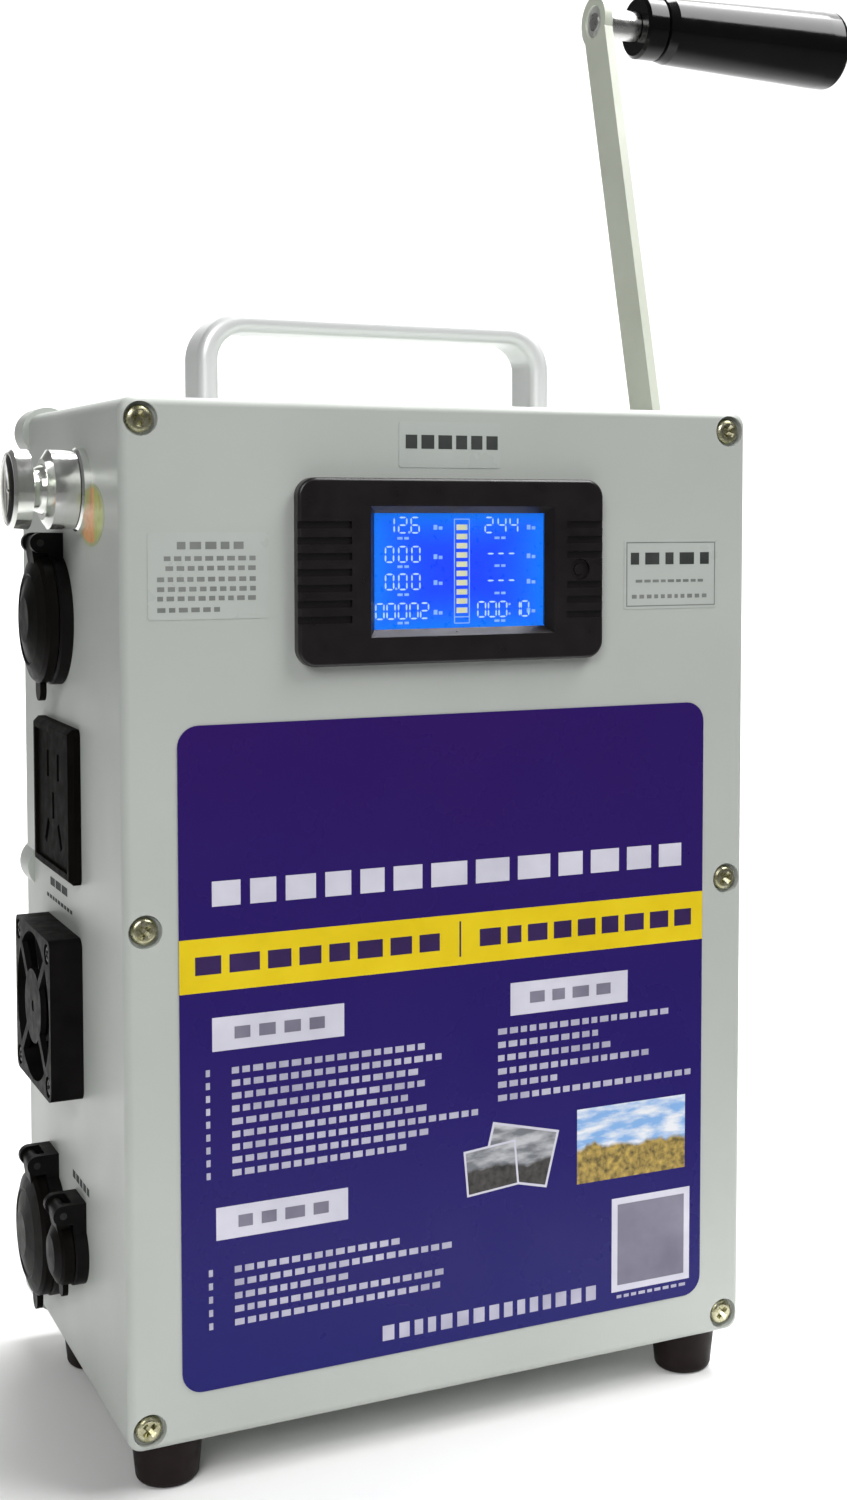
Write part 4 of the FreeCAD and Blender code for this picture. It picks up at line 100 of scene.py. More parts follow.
# %% Camera
VIEW_YAW, VIEW_PITCH, VIEW_ROLL = 26.12, 3.36, 0.11
FOCAL_PIXELS, LONG_SIDE, SHORT_SIDE = 1974.0, 1500.0, 847.0
AIM_ACROSS, AIM_DOWN = 534.9, 626.3
CAMERA_PLACE = (-216.4, -490.0, 243.5)

eye = bpy.data.cameras.new("camera")
eye.sensor_width = 36.0
eye.lens = FOCAL_PIXELS * eye.sensor_width / LONG_SIDE
eye.shift_x = (SHORT_SIDE / 2 - AIM_ACROSS) / LONG_SIDE
eye.shift_y = (AIM_DOWN - LONG_SIDE / 2) / LONG_SIDE
eye.clip_start, eye.clip_end = 0.01, 50.0
camera = bpy.data.objects.new("camera", eye)
bpy.context.scene.collection.objects.link(camera)
camera.matrix_world = (
    Matrix.Translation(spot(*CAMERA_PLACE))
    @ Matrix.Rotation(math.radians(-VIEW_YAW), 4, "Z")
    @ Matrix.Rotation(math.radians(90 - VIEW_PITCH), 4, "X")
    @ Matrix.Rotation(math.radians(VIEW_ROLL), 4, "Z")
)
bpy.context.scene.camera = camera
print("lens in mm:", round(eye.lens, 2))

# %% [markdown]
# ## Helpers for materials
# All finishes here are a Principled shader that reads a few noises. Pictures of real surfaces
# would be another way, but noises need no files and stay sharp from close by. Each noise is
# named by the size of its grain in millimetres, because that is what a maker would measure.

# %% Noises, ranges and tones
def plug(tree, node, inputs):
    """Link sockets, or set constants, on the inputs of a node."""
    for label, value in inputs.items():
        if isinstance(value, bpy.types.NodeSocket):
            tree.links.new(value, node.inputs[label])
        else:
            node.inputs[label].default_value = value


def add_node(tree, kind, inputs, **settings):
    node = tree.nodes.new(kind)
    for label, value in settings.items():
        setattr(node, label, value)
    plug(tree, node, inputs)
    return node


def new_finish(name):
    finish = bpy.data.materials.new(name)
    finish.use_nodes = True
    return finish, finish.node_tree, finish.node_tree.nodes["Principled BSDF"]


def surface_points(tree, stretch=(1.0, 1.0, 1.0), shift=(0.0, 0.0, 0.0)):
    """Object coordinates, multiplied by stretch along each axis and then moved by shift."""
    points = tree.nodes.new("ShaderNodeTexCoord").outputs["Object"]
    return add_node(tree, "ShaderNodeMapping", {"Vector": points, "Scale": stretch,
                                                "Location": shift}).outputs["Vector"]


def axes_of(tree, points):
    return add_node(tree, "ShaderNodeSeparateXYZ", {"Vector": points}).outputs


def grain(tree, points, size_mm, detail=2.0):
    return add_node(tree, "ShaderNodeTexNoise", {
        "Vector": points, "Scale": 1.0 / (size_mm * MM), "Detail": detail}).outputs["Fac"]


def ranged(tree, value, low, high, start=0.3, end=0.7):
    """The value's run from start to end, mapped to the run from low to high."""
    return add_node(tree, "ShaderNodeMapRange", {
        "Value": value, "From Min": start, "From Max": end,
        "To Min": low, "To Max": high}).outputs["Result"]


def blended(tree, amount, first, second):
    """A colour between two others; each is a socket or a plain (r, g, b)."""
    first, second = ((*colour, 1.0) if isinstance(colour, tuple) else colour
                     for colour in (first, second))
    return add_node(tree, "ShaderNodeMix", {"Factor": amount, "A": first, "B": second},
                    data_type="RGBA").outputs["Result"]


# %% [markdown]
# ### One finish from two tones
# Moulded plastic, paint and metal are never quite even. So colours go through a mix of a dark
# and a light tone, roughness through a range, and a bump gives the skin of the mould. Constant
# values stay on the shader's own sockets.

# %% Bump and finish
def add_bump(tree, shader, heights, depth_mm):
    bump = add_node(tree, "ShaderNodeBump", {"Height": heights, "Distance": depth_mm * MM,
                                             "Strength": 1.0})
    plug(tree, shader, {"Normal": bump.outputs["Normal"]})


def skin(name, dark, light, rough, grain_mm, bump_mm, patch_mm=40.0, metal=0.0, coat=0.0,
         stretch=(1.0, 1.0, 1.0), shine=0.5):
    """A finish with soft patches of two tones, uneven gloss and a fine relief."""
    finish, tree, shader = new_finish(name)
    points = surface_points(tree, stretch)
    # For the chrome, the darker of the two tones these patches mix is a painted reflection.
    patches = grain(tree, points, patch_mm, 4.0)
    smudges = grain(tree, points, patch_mm * 0.4, 5.0)
    plug(tree, shader, {
        "Metallic": metal, "Specular IOR Level": shine,
        "Coat Weight": coat, "Coat Roughness": 0.12,
        "Base Color": blended(tree, ranged(tree, patches, 0.0, 1.0), dark, light),
        "Roughness": ranged(tree, smudges, *rough)})
    add_bump(tree, shader, grain(tree, points, grain_mm), bump_mm)
    return finish


# %% [markdown]
# ## The finishes
# The case is satin grey green plastic with a fine spark-eroded skin. The handle is a drawn
# aluminium bar, so its grain runs along the bar. The crank arm is painted steel, the grip is
# glossy black, and the caps and feet are rubber, which has no clear reflections. The lamp is
# chrome: nearly a mirror, with faint smudges in its gloss and darker greenish patches that
# are a painted reflection of green surroundings.

# %% Finishes of the CAD parts
FINISH = {
    "case_plastic": skin("case_satin_plastic", (0.45, 0.475, 0.445), (0.49, 0.515, 0.485),
                         (0.36, 0.48), 0.55, 0.012, 70.0),
    "handle_metal": skin("handle_satin_aluminium", (0.80, 0.81, 0.81), (0.88, 0.89, 0.89),
                         (0.32, 0.44), 0.35, 0.008, 30.0, metal=0.4,
                         stretch=(0.08, 1.0, 0.2)),
    "arm_paint": skin("arm_grey_green_paint", (0.55, 0.585, 0.49), (0.61, 0.645, 0.55),
                      (0.34, 0.46), 0.8, 0.015, 26.0, coat=0.15),
    "grip_plastic": skin("grip_gloss_plastic", (0.002, 0.002, 0.002), (0.004, 0.004, 0.004),
                         (0.10, 0.18), 3.0, 0.02, 18.0, shine=0.28),
    "meter_plastic": skin("meter_semi_gloss_plastic", (0.006, 0.004, 0.0045),
                          (0.009, 0.007, 0.0075), (0.27, 0.37), 0.5, 0.014, 12.0, shine=0.5),
    "cap_rubber": skin("cap_soft_rubber", (0.004, 0.0035, 0.003), (0.007, 0.006, 0.0055),
                       (0.36, 0.50), 0.6, 0.02, 9.0, shine=0.05),
    "foot_rubber": skin("foot_hard_rubber", (0.008, 0.004, 0.004), (0.013, 0.007, 0.007),
                        (0.44, 0.62), 0.7, 0.03, 8.0, shine=0.15),
    "socket_plastic": skin("socket_satin_plastic", (0.005, 0.0045, 0.0045),
                           (0.009, 0.008, 0.008), (0.36, 0.50), 0.5, 0.012, 9.0, shine=0.06),
    "mains_plastic": skin("mains_semi_gloss_plastic", (0.004, 0.0035, 0.003),
                          (0.007, 0.006, 0.0055), (0.4, 0.54), 0.6, 0.01, 10.0, shine=0.006),
    "fan_plastic": skin("fan_satin_plastic", (0.006, 0.0055, 0.0055), (0.010, 0.009, 0.009),
                        (0.34, 0.5), 0.5, 0.012, 8.0, shine=0.015),
    "seal_rubber": skin("seal_rubber", (0.012, 0.012, 0.012), (0.02, 0.02, 0.02),
                        (0.6, 0.75), 0.6, 0.02, 8.0),
    # The chrome's darker greenish tone is a painted reflection of green surroundings; its smudges
    # are in the gloss.
    "chrome": skin("lamp_chrome_with_painted_reflection", (0.70, 0.74, 0.66), (0.90, 0.90, 0.90), (0.08, 0.2),
                   1.5, 0.0015, 7.0, metal=0.9),
    "led": skin("lamp_diode_yellow", (0.75, 0.68, 0.32), (0.86, 0.80, 0.45), (0.3, 0.4),
                0.6, 0.01, 3.0),
    "steel": skin("spindle_steel", (0.46, 0.46, 0.45), (0.58, 0.58, 0.57), (0.22, 0.36),
                  0.4, 0.006, 6.0, metal=1.0),
    "bearing_steel": skin("bearing_dark_steel", (0.26, 0.26, 0.26), (0.36, 0.36, 0.35),
                          (0.26, 0.42), 0.5, 0.008, 7.0, metal=1.0),
    "plate_steel": skin("plate_zinc", (0.48, 0.49, 0.50), (0.64, 0.65, 0.66), (0.28, 0.45),
                        0.9, 0.006, 5.0, metal=1.0),
    "screw_steel": skin("screw_passivated_steel", (0.30, 0.29, 0.15), (0.60, 0.58, 0.42),
                        (0.20, 0.38), 0.35, 0.01, 2.2, metal=1.0),
    "brass": skin("insert_brass", (0.62, 0.44, 0.17), (0.76, 0.56, 0.25), (0.22, 0.36),
                  0.4, 0.006, 4.0, metal=1.0),
    "copper": skin("winding_copper", (0.50, 0.21, 0.08), (0.68, 0.32, 0.14), (0.25, 0.4),
                   0.5, 0.05, 4.0, metal=1.0),
    "aluminium": skin("heat_sink_aluminium", (0.52, 0.52, 0.53), (0.66, 0.66, 0.67),
                      (0.3, 0.45), 0.5, 0.008, 8.0, metal=1.0),
    "board": skin("circuit_board_green", (0.008, 0.09, 0.035), (0.014, 0.15, 0.06),
                  (0.3, 0.42), 0.8, 0.012, 6.0),
    "cell_wrap": skin("cell_shrink_wrap", (0.015, 0.13, 0.36), (0.025, 0.2, 0.5),
                      (0.24, 0.36), 1.5, 0.02, 9.0),
}
print("finishes in the table:", len(FINISH))

# %% [markdown]
# ### Clear plastic and the lit display
# The window and the lens are clear, so they let light through instead of reading two tones.
# The display behind the window glows blue. Its lamps sit round the rim, and the blue is paler
# there. The distance from the middle is taken on each axis, raised to a power so that most of
# the face stays even, and the larger one mixes the two blues.

# %% Window and display finishes
RIM_POWER = 2.6


def clear_pane():
    """Clear plastic with a few faint wipes in its gloss."""
    finish, tree, shader = new_finish("clear_pane")
    wipes = grain(tree, surface_points(tree, (0.3, 1.0, 1.0)), 6.0, 3.0)
    plug(tree, shader, {"Base Color": (0.97, 0.98, 1.0, 1.0), "Transmission Weight": 1.0,
                        "IOR": 1.45, "Roughness": ranged(tree, wipes, 0.02, 0.07)})
    return finish


def maths(tree, operation, *values):
    return add_node(tree, "ShaderNodeMath", dict(enumerate(values)),
                    operation=operation).outputs["Value"]


def lit_display():
    """Blue backlight: deep in the middle, paler where the lamps sit round the rim."""
    finish, tree, shader = new_finish("display_blue_backlight")
    low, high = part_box("meter_window")
    middle, half = (low + high) / 2, (high - low) / 2
    axes = axes_of(tree, surface_points(tree, (1 / half.x, 0.0, 1 / half.z),
                                        (-middle.x / half.x, 0.0, -middle.z / half.z)))
    edges = [maths(tree, "POWER", maths(tree, "ABSOLUTE", axes[axis]), RIM_POWER)
             for axis in ("X", "Z")]
    glow = blended(tree, maths(tree, "MAXIMUM", *edges), (0.006, 0.055, 0.90), (0.0, 0.20, 0.95))
    dust = grain(tree, surface_points(tree), 2.0, 3.0)
    plug(tree, shader, {"Base Color": glow, "Emission Color": glow, "Emission Strength": 0.7,
                        "Roughness": ranged(tree, dust, 0.25, 0.4)})
    return finish


FINISH["clear_plastic"] = clear_pane()
FINISH["display"] = lit_display()
print("finishes with the clear and lit ones:", len(FINISH))

# %% [markdown]
# ### Finishes on the CAD parts
# The record of the frame says which material slot each part has, so a loop gives every part
# the finish of its slot. Two parts look unlike the rest of their slot: the blackened pins of
# the caps and the pale zinc nut of the grip.

# %% Each part gets its finish
for row in frame["record"]["subparts"]:
    for held in frame["nodes"][row["node"]].material_slots:
        held.material = FINISH[row["material_slot"]]
blackened = skin("hinge_pin_blackened_steel", (0.010, 0.010, 0.010), (0.018, 0.018, 0.018),
                 (0.34, 0.46), 0.4, 0.006, 3.0, shine=0.3)
zinc_plated = skin("grip_nut_zinc", (0.50, 0.51, 0.48), (0.74, 0.75, 0.72), (0.3, 0.45),
                   0.5, 0.006, 2.5, metal=0.5)
for node, finish in (("cap_hinge_pins", blackened), ("grip_nut", zinc_plated)):
    for held in frame["nodes"][node].material_slots:
        held.material = finish

# %% [markdown]
# ## Making pieces
# A finished piece sits at the frame's origin with its place in its mesh, as the CAD parts do.
# The helper below takes a mesh, gives it its finish, and lets it ride on a body, so that it
# moves with the part that carries it.

# %% Keeping a piece
def keep_piece(name, mesh, finish, body):
    piece = bpy.data.objects.new(name, mesh)
    bpy.context.scene.collection.objects.link(piece)
    mesh.materials.clear()
    mesh.materials.append(finish)
    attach(piece, body)
    print(name, "faces:", len(mesh.polygons))
    return piece


def mesh_from(builder, name):
    mesh = bpy.data.meshes.new(name)
    builder.to_mesh(mesh)
    builder.free()
    return mesh


# %% [markdown]
# ### A thin sheet with round corners
# The label, the stickers and the window are thin plates. A cube with a bevel would do, but
# then the corners follow the bevel's segments. Here the rim is laid out corner by corner and
# closed to a solid, so each radius is just what it says.

# %% Round-cornered sheet
def rounded_sheet(name, left, right, low, high, radius, front, thick, to_frame=spot, steps=8):
    """A thin plate with round corners that lies on a wall, from front back by thick."""
    build = bmesh.new()
    inner_left, inner_right = left + radius, right - radius
    inner_low, inner_high = low + radius, high - radius
    rim = []
    for across, up, start in ((inner_right, inner_high, 0), (inner_left, inner_high, 90),
                              (inner_left, inner_low, 180), (inner_right, inner_low, 270)):
        for step in range(steps + 1):
            turn = math.radians(start + 90 * step / steps)
            rim.append((across + radius * math.cos(turn), up + radius * math.sin(turn)))
    near = [build.verts.new(to_frame(x, front, z)) for x, z in rim]
    far = [build.verts.new(to_frame(x, front + thick, z)) for x, z in rim]
    build.faces.new(near)
    build.faces.new(reversed(far))
    count = len(rim)
    for index in range(count):
        after = (index + 1) % count
        build.faces.new((near[index], far[index], far[after], near[after]))
    bmesh.ops.recalc_face_normals(build, faces=build.faces)
    return mesh_from(build, name)


# %% [markdown]
# ### A lathe
# Screws and round stickers are turned shapes. The Screw modifier could spin a profile, but it
# leaves double points on the axis. Building ring by ring, with one point where the radius is
# nothing, gives a closed solid at once.

# %% Lathe
ON_AXIS = 1e-9


def lathe(profile, segments=48):
    """A closed solid turned about z from (radius, height) points; the ends may be on the axis."""
    build = bmesh.new()
    rings = []
    for radius, height in profile:
        if radius < ON_AXIS:
            rings.append([build.verts.new((0, 0, height * MM))])
        else:
            rings.append([
                build.verts.new((radius * MM * math.cos(2 * math.pi * step / segments),
                                 radius * MM * math.sin(2 * math.pi * step / segments),
                                 height * MM))
                for step in range(segments)])
    for lower, upper in zip(rings, rings[1:]):
        for step in range(segments):
            after = (step + 1) % segments
            corners = []
            for vertex in (lower[step % len(lower)], lower[after % len(lower)],
                           upper[after % len(upper)], upper[step % len(upper)]):
                if vertex not in corners:
                    corners.append(vertex)
            if len(corners) > 2:
                build.faces.new(corners)
    bmesh.ops.recalc_face_normals(build, faces=build.faces)
    return build


# %% [markdown]
# ## Geometry Nodes for what repeats
# Printed words, the bars of the display's numbers and the screws are each one small shape at
# many places. A tree puts the shape on the vertices of a mesh of places, and reads its size
# and turn from attributes of those vertices. These helpers start a tree with named inputs and
# end it in Realize Instances and Set Material.

# %% The ends of a tree
def socket_id(tree, label):
    return next(item.identifier for item in tree.interface.items_tree
                if item.item_type == "SOCKET" and item.in_out == "INPUT" and item.name == label)


def start_tree(name, inputs):
    tree = bpy.data.node_groups.new(name, "GeometryNodeTree")
    tree.interface.new_socket("Geometry", in_out="INPUT", socket_type="NodeSocketGeometry")
    for label, kind in inputs:
        tree.interface.new_socket(label, in_out="INPUT", socket_type=kind)
    tree.interface.new_socket("Geometry", in_out="OUTPUT", socket_type="NodeSocketGeometry")
    return tree, tree.nodes.new("NodeGroupInput"), tree.nodes.new("NodeGroupOutput")


def named_value(tree, label):
    return add_node(tree, "GeometryNodeInputNamedAttribute", {"Name": label},
                    data_type="FLOAT").outputs["Attribute"]


def finish_tree(tree, entry, leave, instances):
    realize = add_node(tree, "GeometryNodeRealizeInstances", {"Geometry": instances})
    paint = add_node(tree, "GeometryNodeSetMaterial", {
        "Geometry": realize.outputs["Geometry"], "Material": entry.outputs["Material"]})
    plug(tree, leave, {"Geometry": paint.outputs["Geometry"]})
    return tree


# %% [markdown]
# ### Blocks and segments
# A word is a flat block, and a stroke of a display number is a long hexagon. Both are a unit
# solid that the tree scales at each place, so one function makes both trees from two nodes.

# %% Trees for blocks and segments
def scattered_shape_tree(name, shape_node, shape_inputs):
    """Instances of a small solid, sized by the attributes wide and tall and turned by turn."""
    tree, entry, leave = start_tree(name, [("Thickness", "NodeSocketFloat"),
                                           ("Material", "NodeSocketMaterial")])
    shape = add_node(tree, shape_node, shape_inputs)
    lay = add_node(tree, "GeometryNodeTransform", {"Geometry": shape.outputs["Mesh"],
                                                   "Rotation": (math.radians(90), 0.0, 0.0)})
    size = add_node(tree, "ShaderNodeCombineXYZ", {
        "X": named_value(tree, "wide"), "Y": entry.outputs["Thickness"],
        "Z": named_value(tree, "tall")})
    turn = add_node(tree, "ShaderNodeCombineXYZ", {"Y": named_value(tree, "turn")})
    put = add_node(tree, "GeometryNodeInstanceOnPoints", {
        "Points": entry.outputs["Geometry"], "Instance": lay.outputs["Geometry"],
        "Rotation": turn.outputs["Vector"], "Scale": size.outputs["Vector"]})
    return finish_tree(tree, entry, leave, put.outputs["Instances"])


BLOCK_TREE = scattered_shape_tree("blocks_at_places", "GeometryNodeMeshCube",
                                  {"Size": (1.0, 1.0, 1.0)})
SEGMENT_TREE = scattered_shape_tree("segments_at_places", "GeometryNodeMeshCylinder",
                                    {"Vertices": 6, "Radius": 0.5, "Depth": 1.0})
print("nodes in the block tree:", len(BLOCK_TREE.nodes))

# %% [markdown]
# ### Screws
# A screw is too rich a shape for a few nodes, so this tree takes it from another object. All
# screws of a set face the same way, and each is then driven to its own turn.

# %% Tree for screws
def screw_tree():
    """The screw of another object at each place, turned about its own axis by turn."""
    tree, entry, leave = start_tree("screws_at_places", [
        ("Screw", "NodeSocketObject"), ("Facing", "NodeSocketVector"),
        ("Material", "NodeSocketMaterial")])
    source = add_node(tree, "GeometryNodeObjectInfo", {"Object": entry.outputs["Screw"]})
    put = add_node(tree, "GeometryNodeInstanceOnPoints", {
        "Points": entry.outputs["Geometry"], "Instance": source.outputs["Geometry"],
        "Rotation": entry.outputs["Facing"]})
    spin = add_node(tree, "ShaderNodeCombineXYZ", {"Z": named_value(tree, "turn")})
    drive = add_node(tree, "GeometryNodeRotateInstances", {
        "Instances": put.outputs["Instances"], "Rotation": spin.outputs["Vector"],
        "Local Space": True})
    return finish_tree(tree, entry, leave, drive.outputs["Instances"])


SCREW_TREE = screw_tree()
print("nodes in the screw tree:", len(SCREW_TREE.nodes))

# %% [markdown]
# ### From a tree to a plain mesh
# The places become a mesh of loose points that carries the sizes and turns. The modifier is
# set by each input's own identifier, evaluated once, and its result is kept as a plain mesh.

# %% Growing a mesh
def grown(name, places, tree, settings):
    """The plain mesh that a tree makes from rows of (place, wide, tall, turn)."""
    seeds = bpy.data.meshes.new(name + "_places")
    seeds.from_pydata([row[0] for row in places], [], [])
    for index, label in enumerate(("wide", "tall", "turn"), start=1):
        values = seeds.attributes.new(label, "FLOAT", "POINT")
        values.data.foreach_set("value", [row[index] for row in places])
    holder = bpy.data.objects.new(name + "_places", seeds)
    bpy.context.scene.collection.objects.link(holder)
    modifier = holder.modifiers.new("places", "NODES")
    modifier.node_group = tree
    for label, value in settings.items():
        modifier[socket_id(tree, label)] = value
    bpy.context.view_layer.update()
    seen = holder.evaluated_get(bpy.context.evaluated_depsgraph_get())
    mesh = bpy.data.meshes.new_from_object(seen)
    mesh.name = name
    bpy.data.objects.remove(holder)
    return mesh


# %% [markdown]
# ## The printed label
# A large label covers the lower two thirds of the front: indigo, bluer towards the bottom,
# with a yellow band across it. It is a sheet of glossy film a quarter of a millimetre thick
# with rounded corners, and its colours are a gradient on the sheet itself.

# %% Label film
LABEL = dict(left=-77.8, right=78.2, low=13.4, high=188.3)
FILM, PRINT = 0.25, 0.03


def label_film():
    finish, tree, shader = new_finish("label_indigo_film")
    points = surface_points(tree)
    bottom, top = spot(0, 0, LABEL["low"]).z, spot(0, 0, LABEL["high"]).z
    height = ranged(tree, axes_of(tree, points)["Z"], 0.0, 1.0, bottom, top)
    base = blended(tree, height, (0.009, 0.009, 0.135), (0.030, 0.008, 0.120))
    wave = ranged(tree, grain(tree, points, 60.0), 0.0, 0.35)
    plug(tree, shader, {"Base Color": blended(tree, wave, base, (0.018, 0.010, 0.130)),
                        "Specular IOR Level": 0.2,
                        "Roughness": ranged(tree, grain(tree, points, 22.0, 4.0), 0.22, 0.34)})
    add_bump(tree, shader, grain(tree, points, 1.6), 0.006)
    return finish


film = label_film()
keep_piece("front_label", rounded_sheet("front_label", **LABEL, radius=5.6, front=-FILM,
                                        thick=FILM), film, "case")

# %% [markdown]
# ### Inks, the band and the boxes
# The yellow band and the three white boxes are prints on the film. A picture could hold them,
# but as blocks a few hundredths of a millimetre thick they stay sharp and need no file.

# %% Inks, band and boxes
def ink(name, dark, light):
    return skin(name, dark, light, (0.3, 0.42), 0.4, 0.003, 14.0, shine=0.3)


yellow_ink = ink("label_yellow_ink", (0.74, 0.54, 0.006), (0.82, 0.62, 0.012))
white_ink = ink("label_white_ink", (0.58, 0.57, 0.66), (0.68, 0.67, 0.76))
indigo_ink = ink("label_indigo_ink", (0.028, 0.012, 0.07), (0.04, 0.018, 0.10))
soft_white_ink = ink("label_soft_white_ink", (0.36, 0.35, 0.46), (0.52, 0.51, 0.62))
grey_ink = ink("label_grey_ink", (0.16, 0.15, 0.21), (0.24, 0.23, 0.30))


def front_block(left, right, low, high, depth, turn=0.0):
    """One printed block as a row for the block tree; depth is its face in front of the case."""
    place = spot((left + right) / 2, -depth, (low + high) / 2)
    return place, (right - left) * MM, (high - low) * MM, turn


def blocks(name, rows, finish):
    mesh = grown(name, rows, BLOCK_TREE, {"Thickness": PRINT * MM, "Material": finish})
    return keep_piece(name, mesh, finish, "case")


ON_FILM = FILM + PRINT / 2
ON_PRINT = FILM + PRINT * 1.5
BAND_LOW, BAND_HIGH = 118.9, 133.0
blocks("label_band", [front_block(LABEL["left"], LABEL["right"], BAND_LOW, BAND_HIGH, ON_FILM)],
       yellow_ink)

HEADINGS = [(-69.2, -32.8, 103.1, 112.0), (16.4, 53.5, 103.0, 112.2), (-68.5, -31.9, 53.0, 61.7)]
blocks("label_boxes", [front_block(*heading, ON_FILM) for heading in HEADINGS], white_ink)


# %% [markdown]
# ### Lines of print
# Words are bare bars in the places of the lines, so the label keeps its layout and says
# nothing. A line takes its count of words and shares its length among them unevenly, from a
# seeded draw, so that it comes out the same each time.

# %% Lines of print
def word_row(chance, left, right, level, tall, words, gap, depth, uneven=0.2):
    """Bars of uneven length that fill a line of print from left to right."""
    shares = [chance.uniform(1 - uneven, 1 + uneven) for _ in range(words)]
    room = right - left - gap * (words - 1)
    rows, here = [], left
    for share in shares:
        long = room * share / sum(shares)
        rows.append(front_block(here, here + long, level - tall / 2, level + tall / 2, depth))
        here += long + gap
    return rows


chance = random.Random(4)
title = word_row(chance, -69.0, 71.0, 144.4, 6.6, 13, 2.6, ON_FILM, 0.25)
small_print = []
for first, pitch, left, ends, numbered in (
        (97.6, 3.4, -64.0, (-9.5, -4.5, -11.5, -9.5, -14.5, -9.0, 6.5, -8.5, -15.0), True),
        (98.9, 3.75, 12.6, (67.0, 44.0, 48.0, 60.5, 31.0, 74.6), False),
        (44.6, 3.55, -63.6, (-17.0, -1.5, -32.0, -4.0, -5.0), True)):
    for line, end in enumerate(ends):
        level = first - pitch * line
        if numbered:
            small_print.append(front_block(left - 7.0, left - 5.9, level - 0.9, level + 0.9,
                                           ON_FILM))
        small_print += word_row(chance, left, end, level, 1.7, round((end - left) / 3.2), 0.9,
                                ON_FILM)
small_print += word_row(chance, -22.0, 43.6, 19.6, 4.2, 15, 1.5, ON_FILM)
small_print += word_row(chance, 50.4, 73.2, 17.0, 0.9, 9, 0.8, ON_FILM)
blocks("label_title_bars", title, white_ink)
blocks("label_small_print", small_print, soft_white_ink)

BAND_LINE = 125.9
band_words = word_row(chance, -73.6, -5.0, BAND_LINE, 4.8, 8, 2.2, ON_PRINT, 0.3)
band_words += word_row(chance, 7.0, 74.4, BAND_LINE, 4.8, 9, 2.0, ON_PRINT, 0.3)
band_words.append(front_block(0.85, 1.35, 121.2, 131.0, ON_PRINT))
blocks("label_band_bars", band_words, indigo_ink)
box_words = [word for left, right, low, high in HEADINGS
             for word in word_row(chance, left + 6.0, right - 5.5, (low + high) / 2, 3.2, 4, 2.4,
                                  ON_PRINT)]
blocks("label_box_bars", box_words, grey_ink)

# %% [markdown]
# ### The pictures on the label
# Two small pictures and a plain square sit at the right. The pictures are a generic view of
# hills under a sky: bands of colour whose edges a noise makes uneven. One is a single picture,
# the other is a pair of prints laid across each other, each with its own tilt.

# %% Pictures and square
def hills(name, sky, far, near, low, high, haze):
    """Sky above, far hills and near ground, each with a wavy edge."""
    finish, tree, shader = new_finish(name)
    points = surface_points(tree)
    bottom, top = spot(0, 0, low).z, spot(0, 0, high).z
    height = ranged(tree, axes_of(tree, points)["Z"], 0.0, 1.0, bottom, top)
    wave = grain(tree, surface_points(tree, (1.0, 1.0, 0.3)), 9.0, 3.0)
    level = maths(tree, "MULTIPLY_ADD", wave, 0.5, height)
    clouds = ranged(tree, grain(tree, surface_points(tree, (0.5, 1.0, 1.6)), 5.0, 4.0),
                    0.0, 1.0, 0.42, 0.62)
    ground = ranged(tree, grain(tree, points, 2.0, 4.0), 0.0, 1.0)
    ridge = ranged(tree, level, 0.0, 1.0, 0.66, 0.72)
    view = blended(tree, ridge, blended(tree, ground, near, far), blended(tree, clouds, sky, haze))
    plug(tree, shader, {"Base Color": view, "Roughness": ranged(tree, wave, 0.28, 0.36)})
    return finish


hill_picture = hills("label_picture_hills", (0.22, 0.42, 0.75), (0.58, 0.40, 0.09),
                     (0.05, 0.04, 0.012), 52.5, 73.5, (0.80, 0.82, 0.86))
dusk_picture = hills("label_picture_dusk", (0.16, 0.17, 0.19), (0.07, 0.065, 0.06),
                     (0.008, 0.008, 0.008), 53.5, 70.0, (0.50, 0.51, 0.53))
blocks("label_picture", [front_block(37.4, 72.8, 52.0, 73.6, ON_FILM)], hill_picture)
blocks("label_print_edge", [front_block(8.8, 30.0, 55.0, 71.4, ON_FILM, math.radians(14)),
                            front_block(2.6, 18.6, 54.2, 67.2, ON_PRINT, math.radians(-5))],
       white_ink)
blocks("label_print_view", [front_block(9.5, 29.3, 55.7, 70.7, ON_PRINT - 0.005,
                                        math.radians(14)),
                            front_block(3.2, 18.0, 54.8, 66.6, ON_PRINT + 0.02,
                                        math.radians(-5))], dusk_picture)
blocks("label_square", [front_block(48.7, 74.5, 18.5, 46.0, ON_FILM)], white_ink)
blocks("label_square_inside", [front_block(50.6, 72.6, 20.4, 44.1, ON_PRINT)], grey_ink)

# %% [markdown]
# ## Three stickers on the front
# Above the meter sits a nearly clear strip, to its left a pale sticker of small print, and to
# its right one with a thin dark border. They are film a tenth of a millimetre thick, a shade
# lighter than the case, again with bars in the places of the lines.

# %% Front stickers
sticker_film = skin("sticker_pale_film", (0.46, 0.495, 0.465), (0.50, 0.53, 0.505),
                    (0.26, 0.36), 0.6, 0.004, 20.0)
sticker_ink = ink("sticker_dark_ink", (0.035, 0.04, 0.038), (0.07, 0.075, 0.07))
pale_ink = ink("sticker_grey_ink", (0.17, 0.18, 0.17), (0.25, 0.26, 0.25))
STICKER, ON_STICKER = 0.10, 0.10 + PRINT / 2
for name, left, right, low, high in (("sticker_above_meter", -16.6, 13.2, 254.9, 267.2),
                                     ("sticker_left_of_meter", -85.0, -53.0, 215.5, 237.8),
                                     ("sticker_right_of_meter", 51.9, 82.5, 215.6, 235.3)):
    keep_piece(name, rounded_sheet(name, left, right, low, high, 0.8, -STICKER, STICKER),
               sticker_film, "case")
dark_rows = word_row(chance, -14.7, 12.4, 261.8, 3.7, 6, 1.2, ON_STICKER)
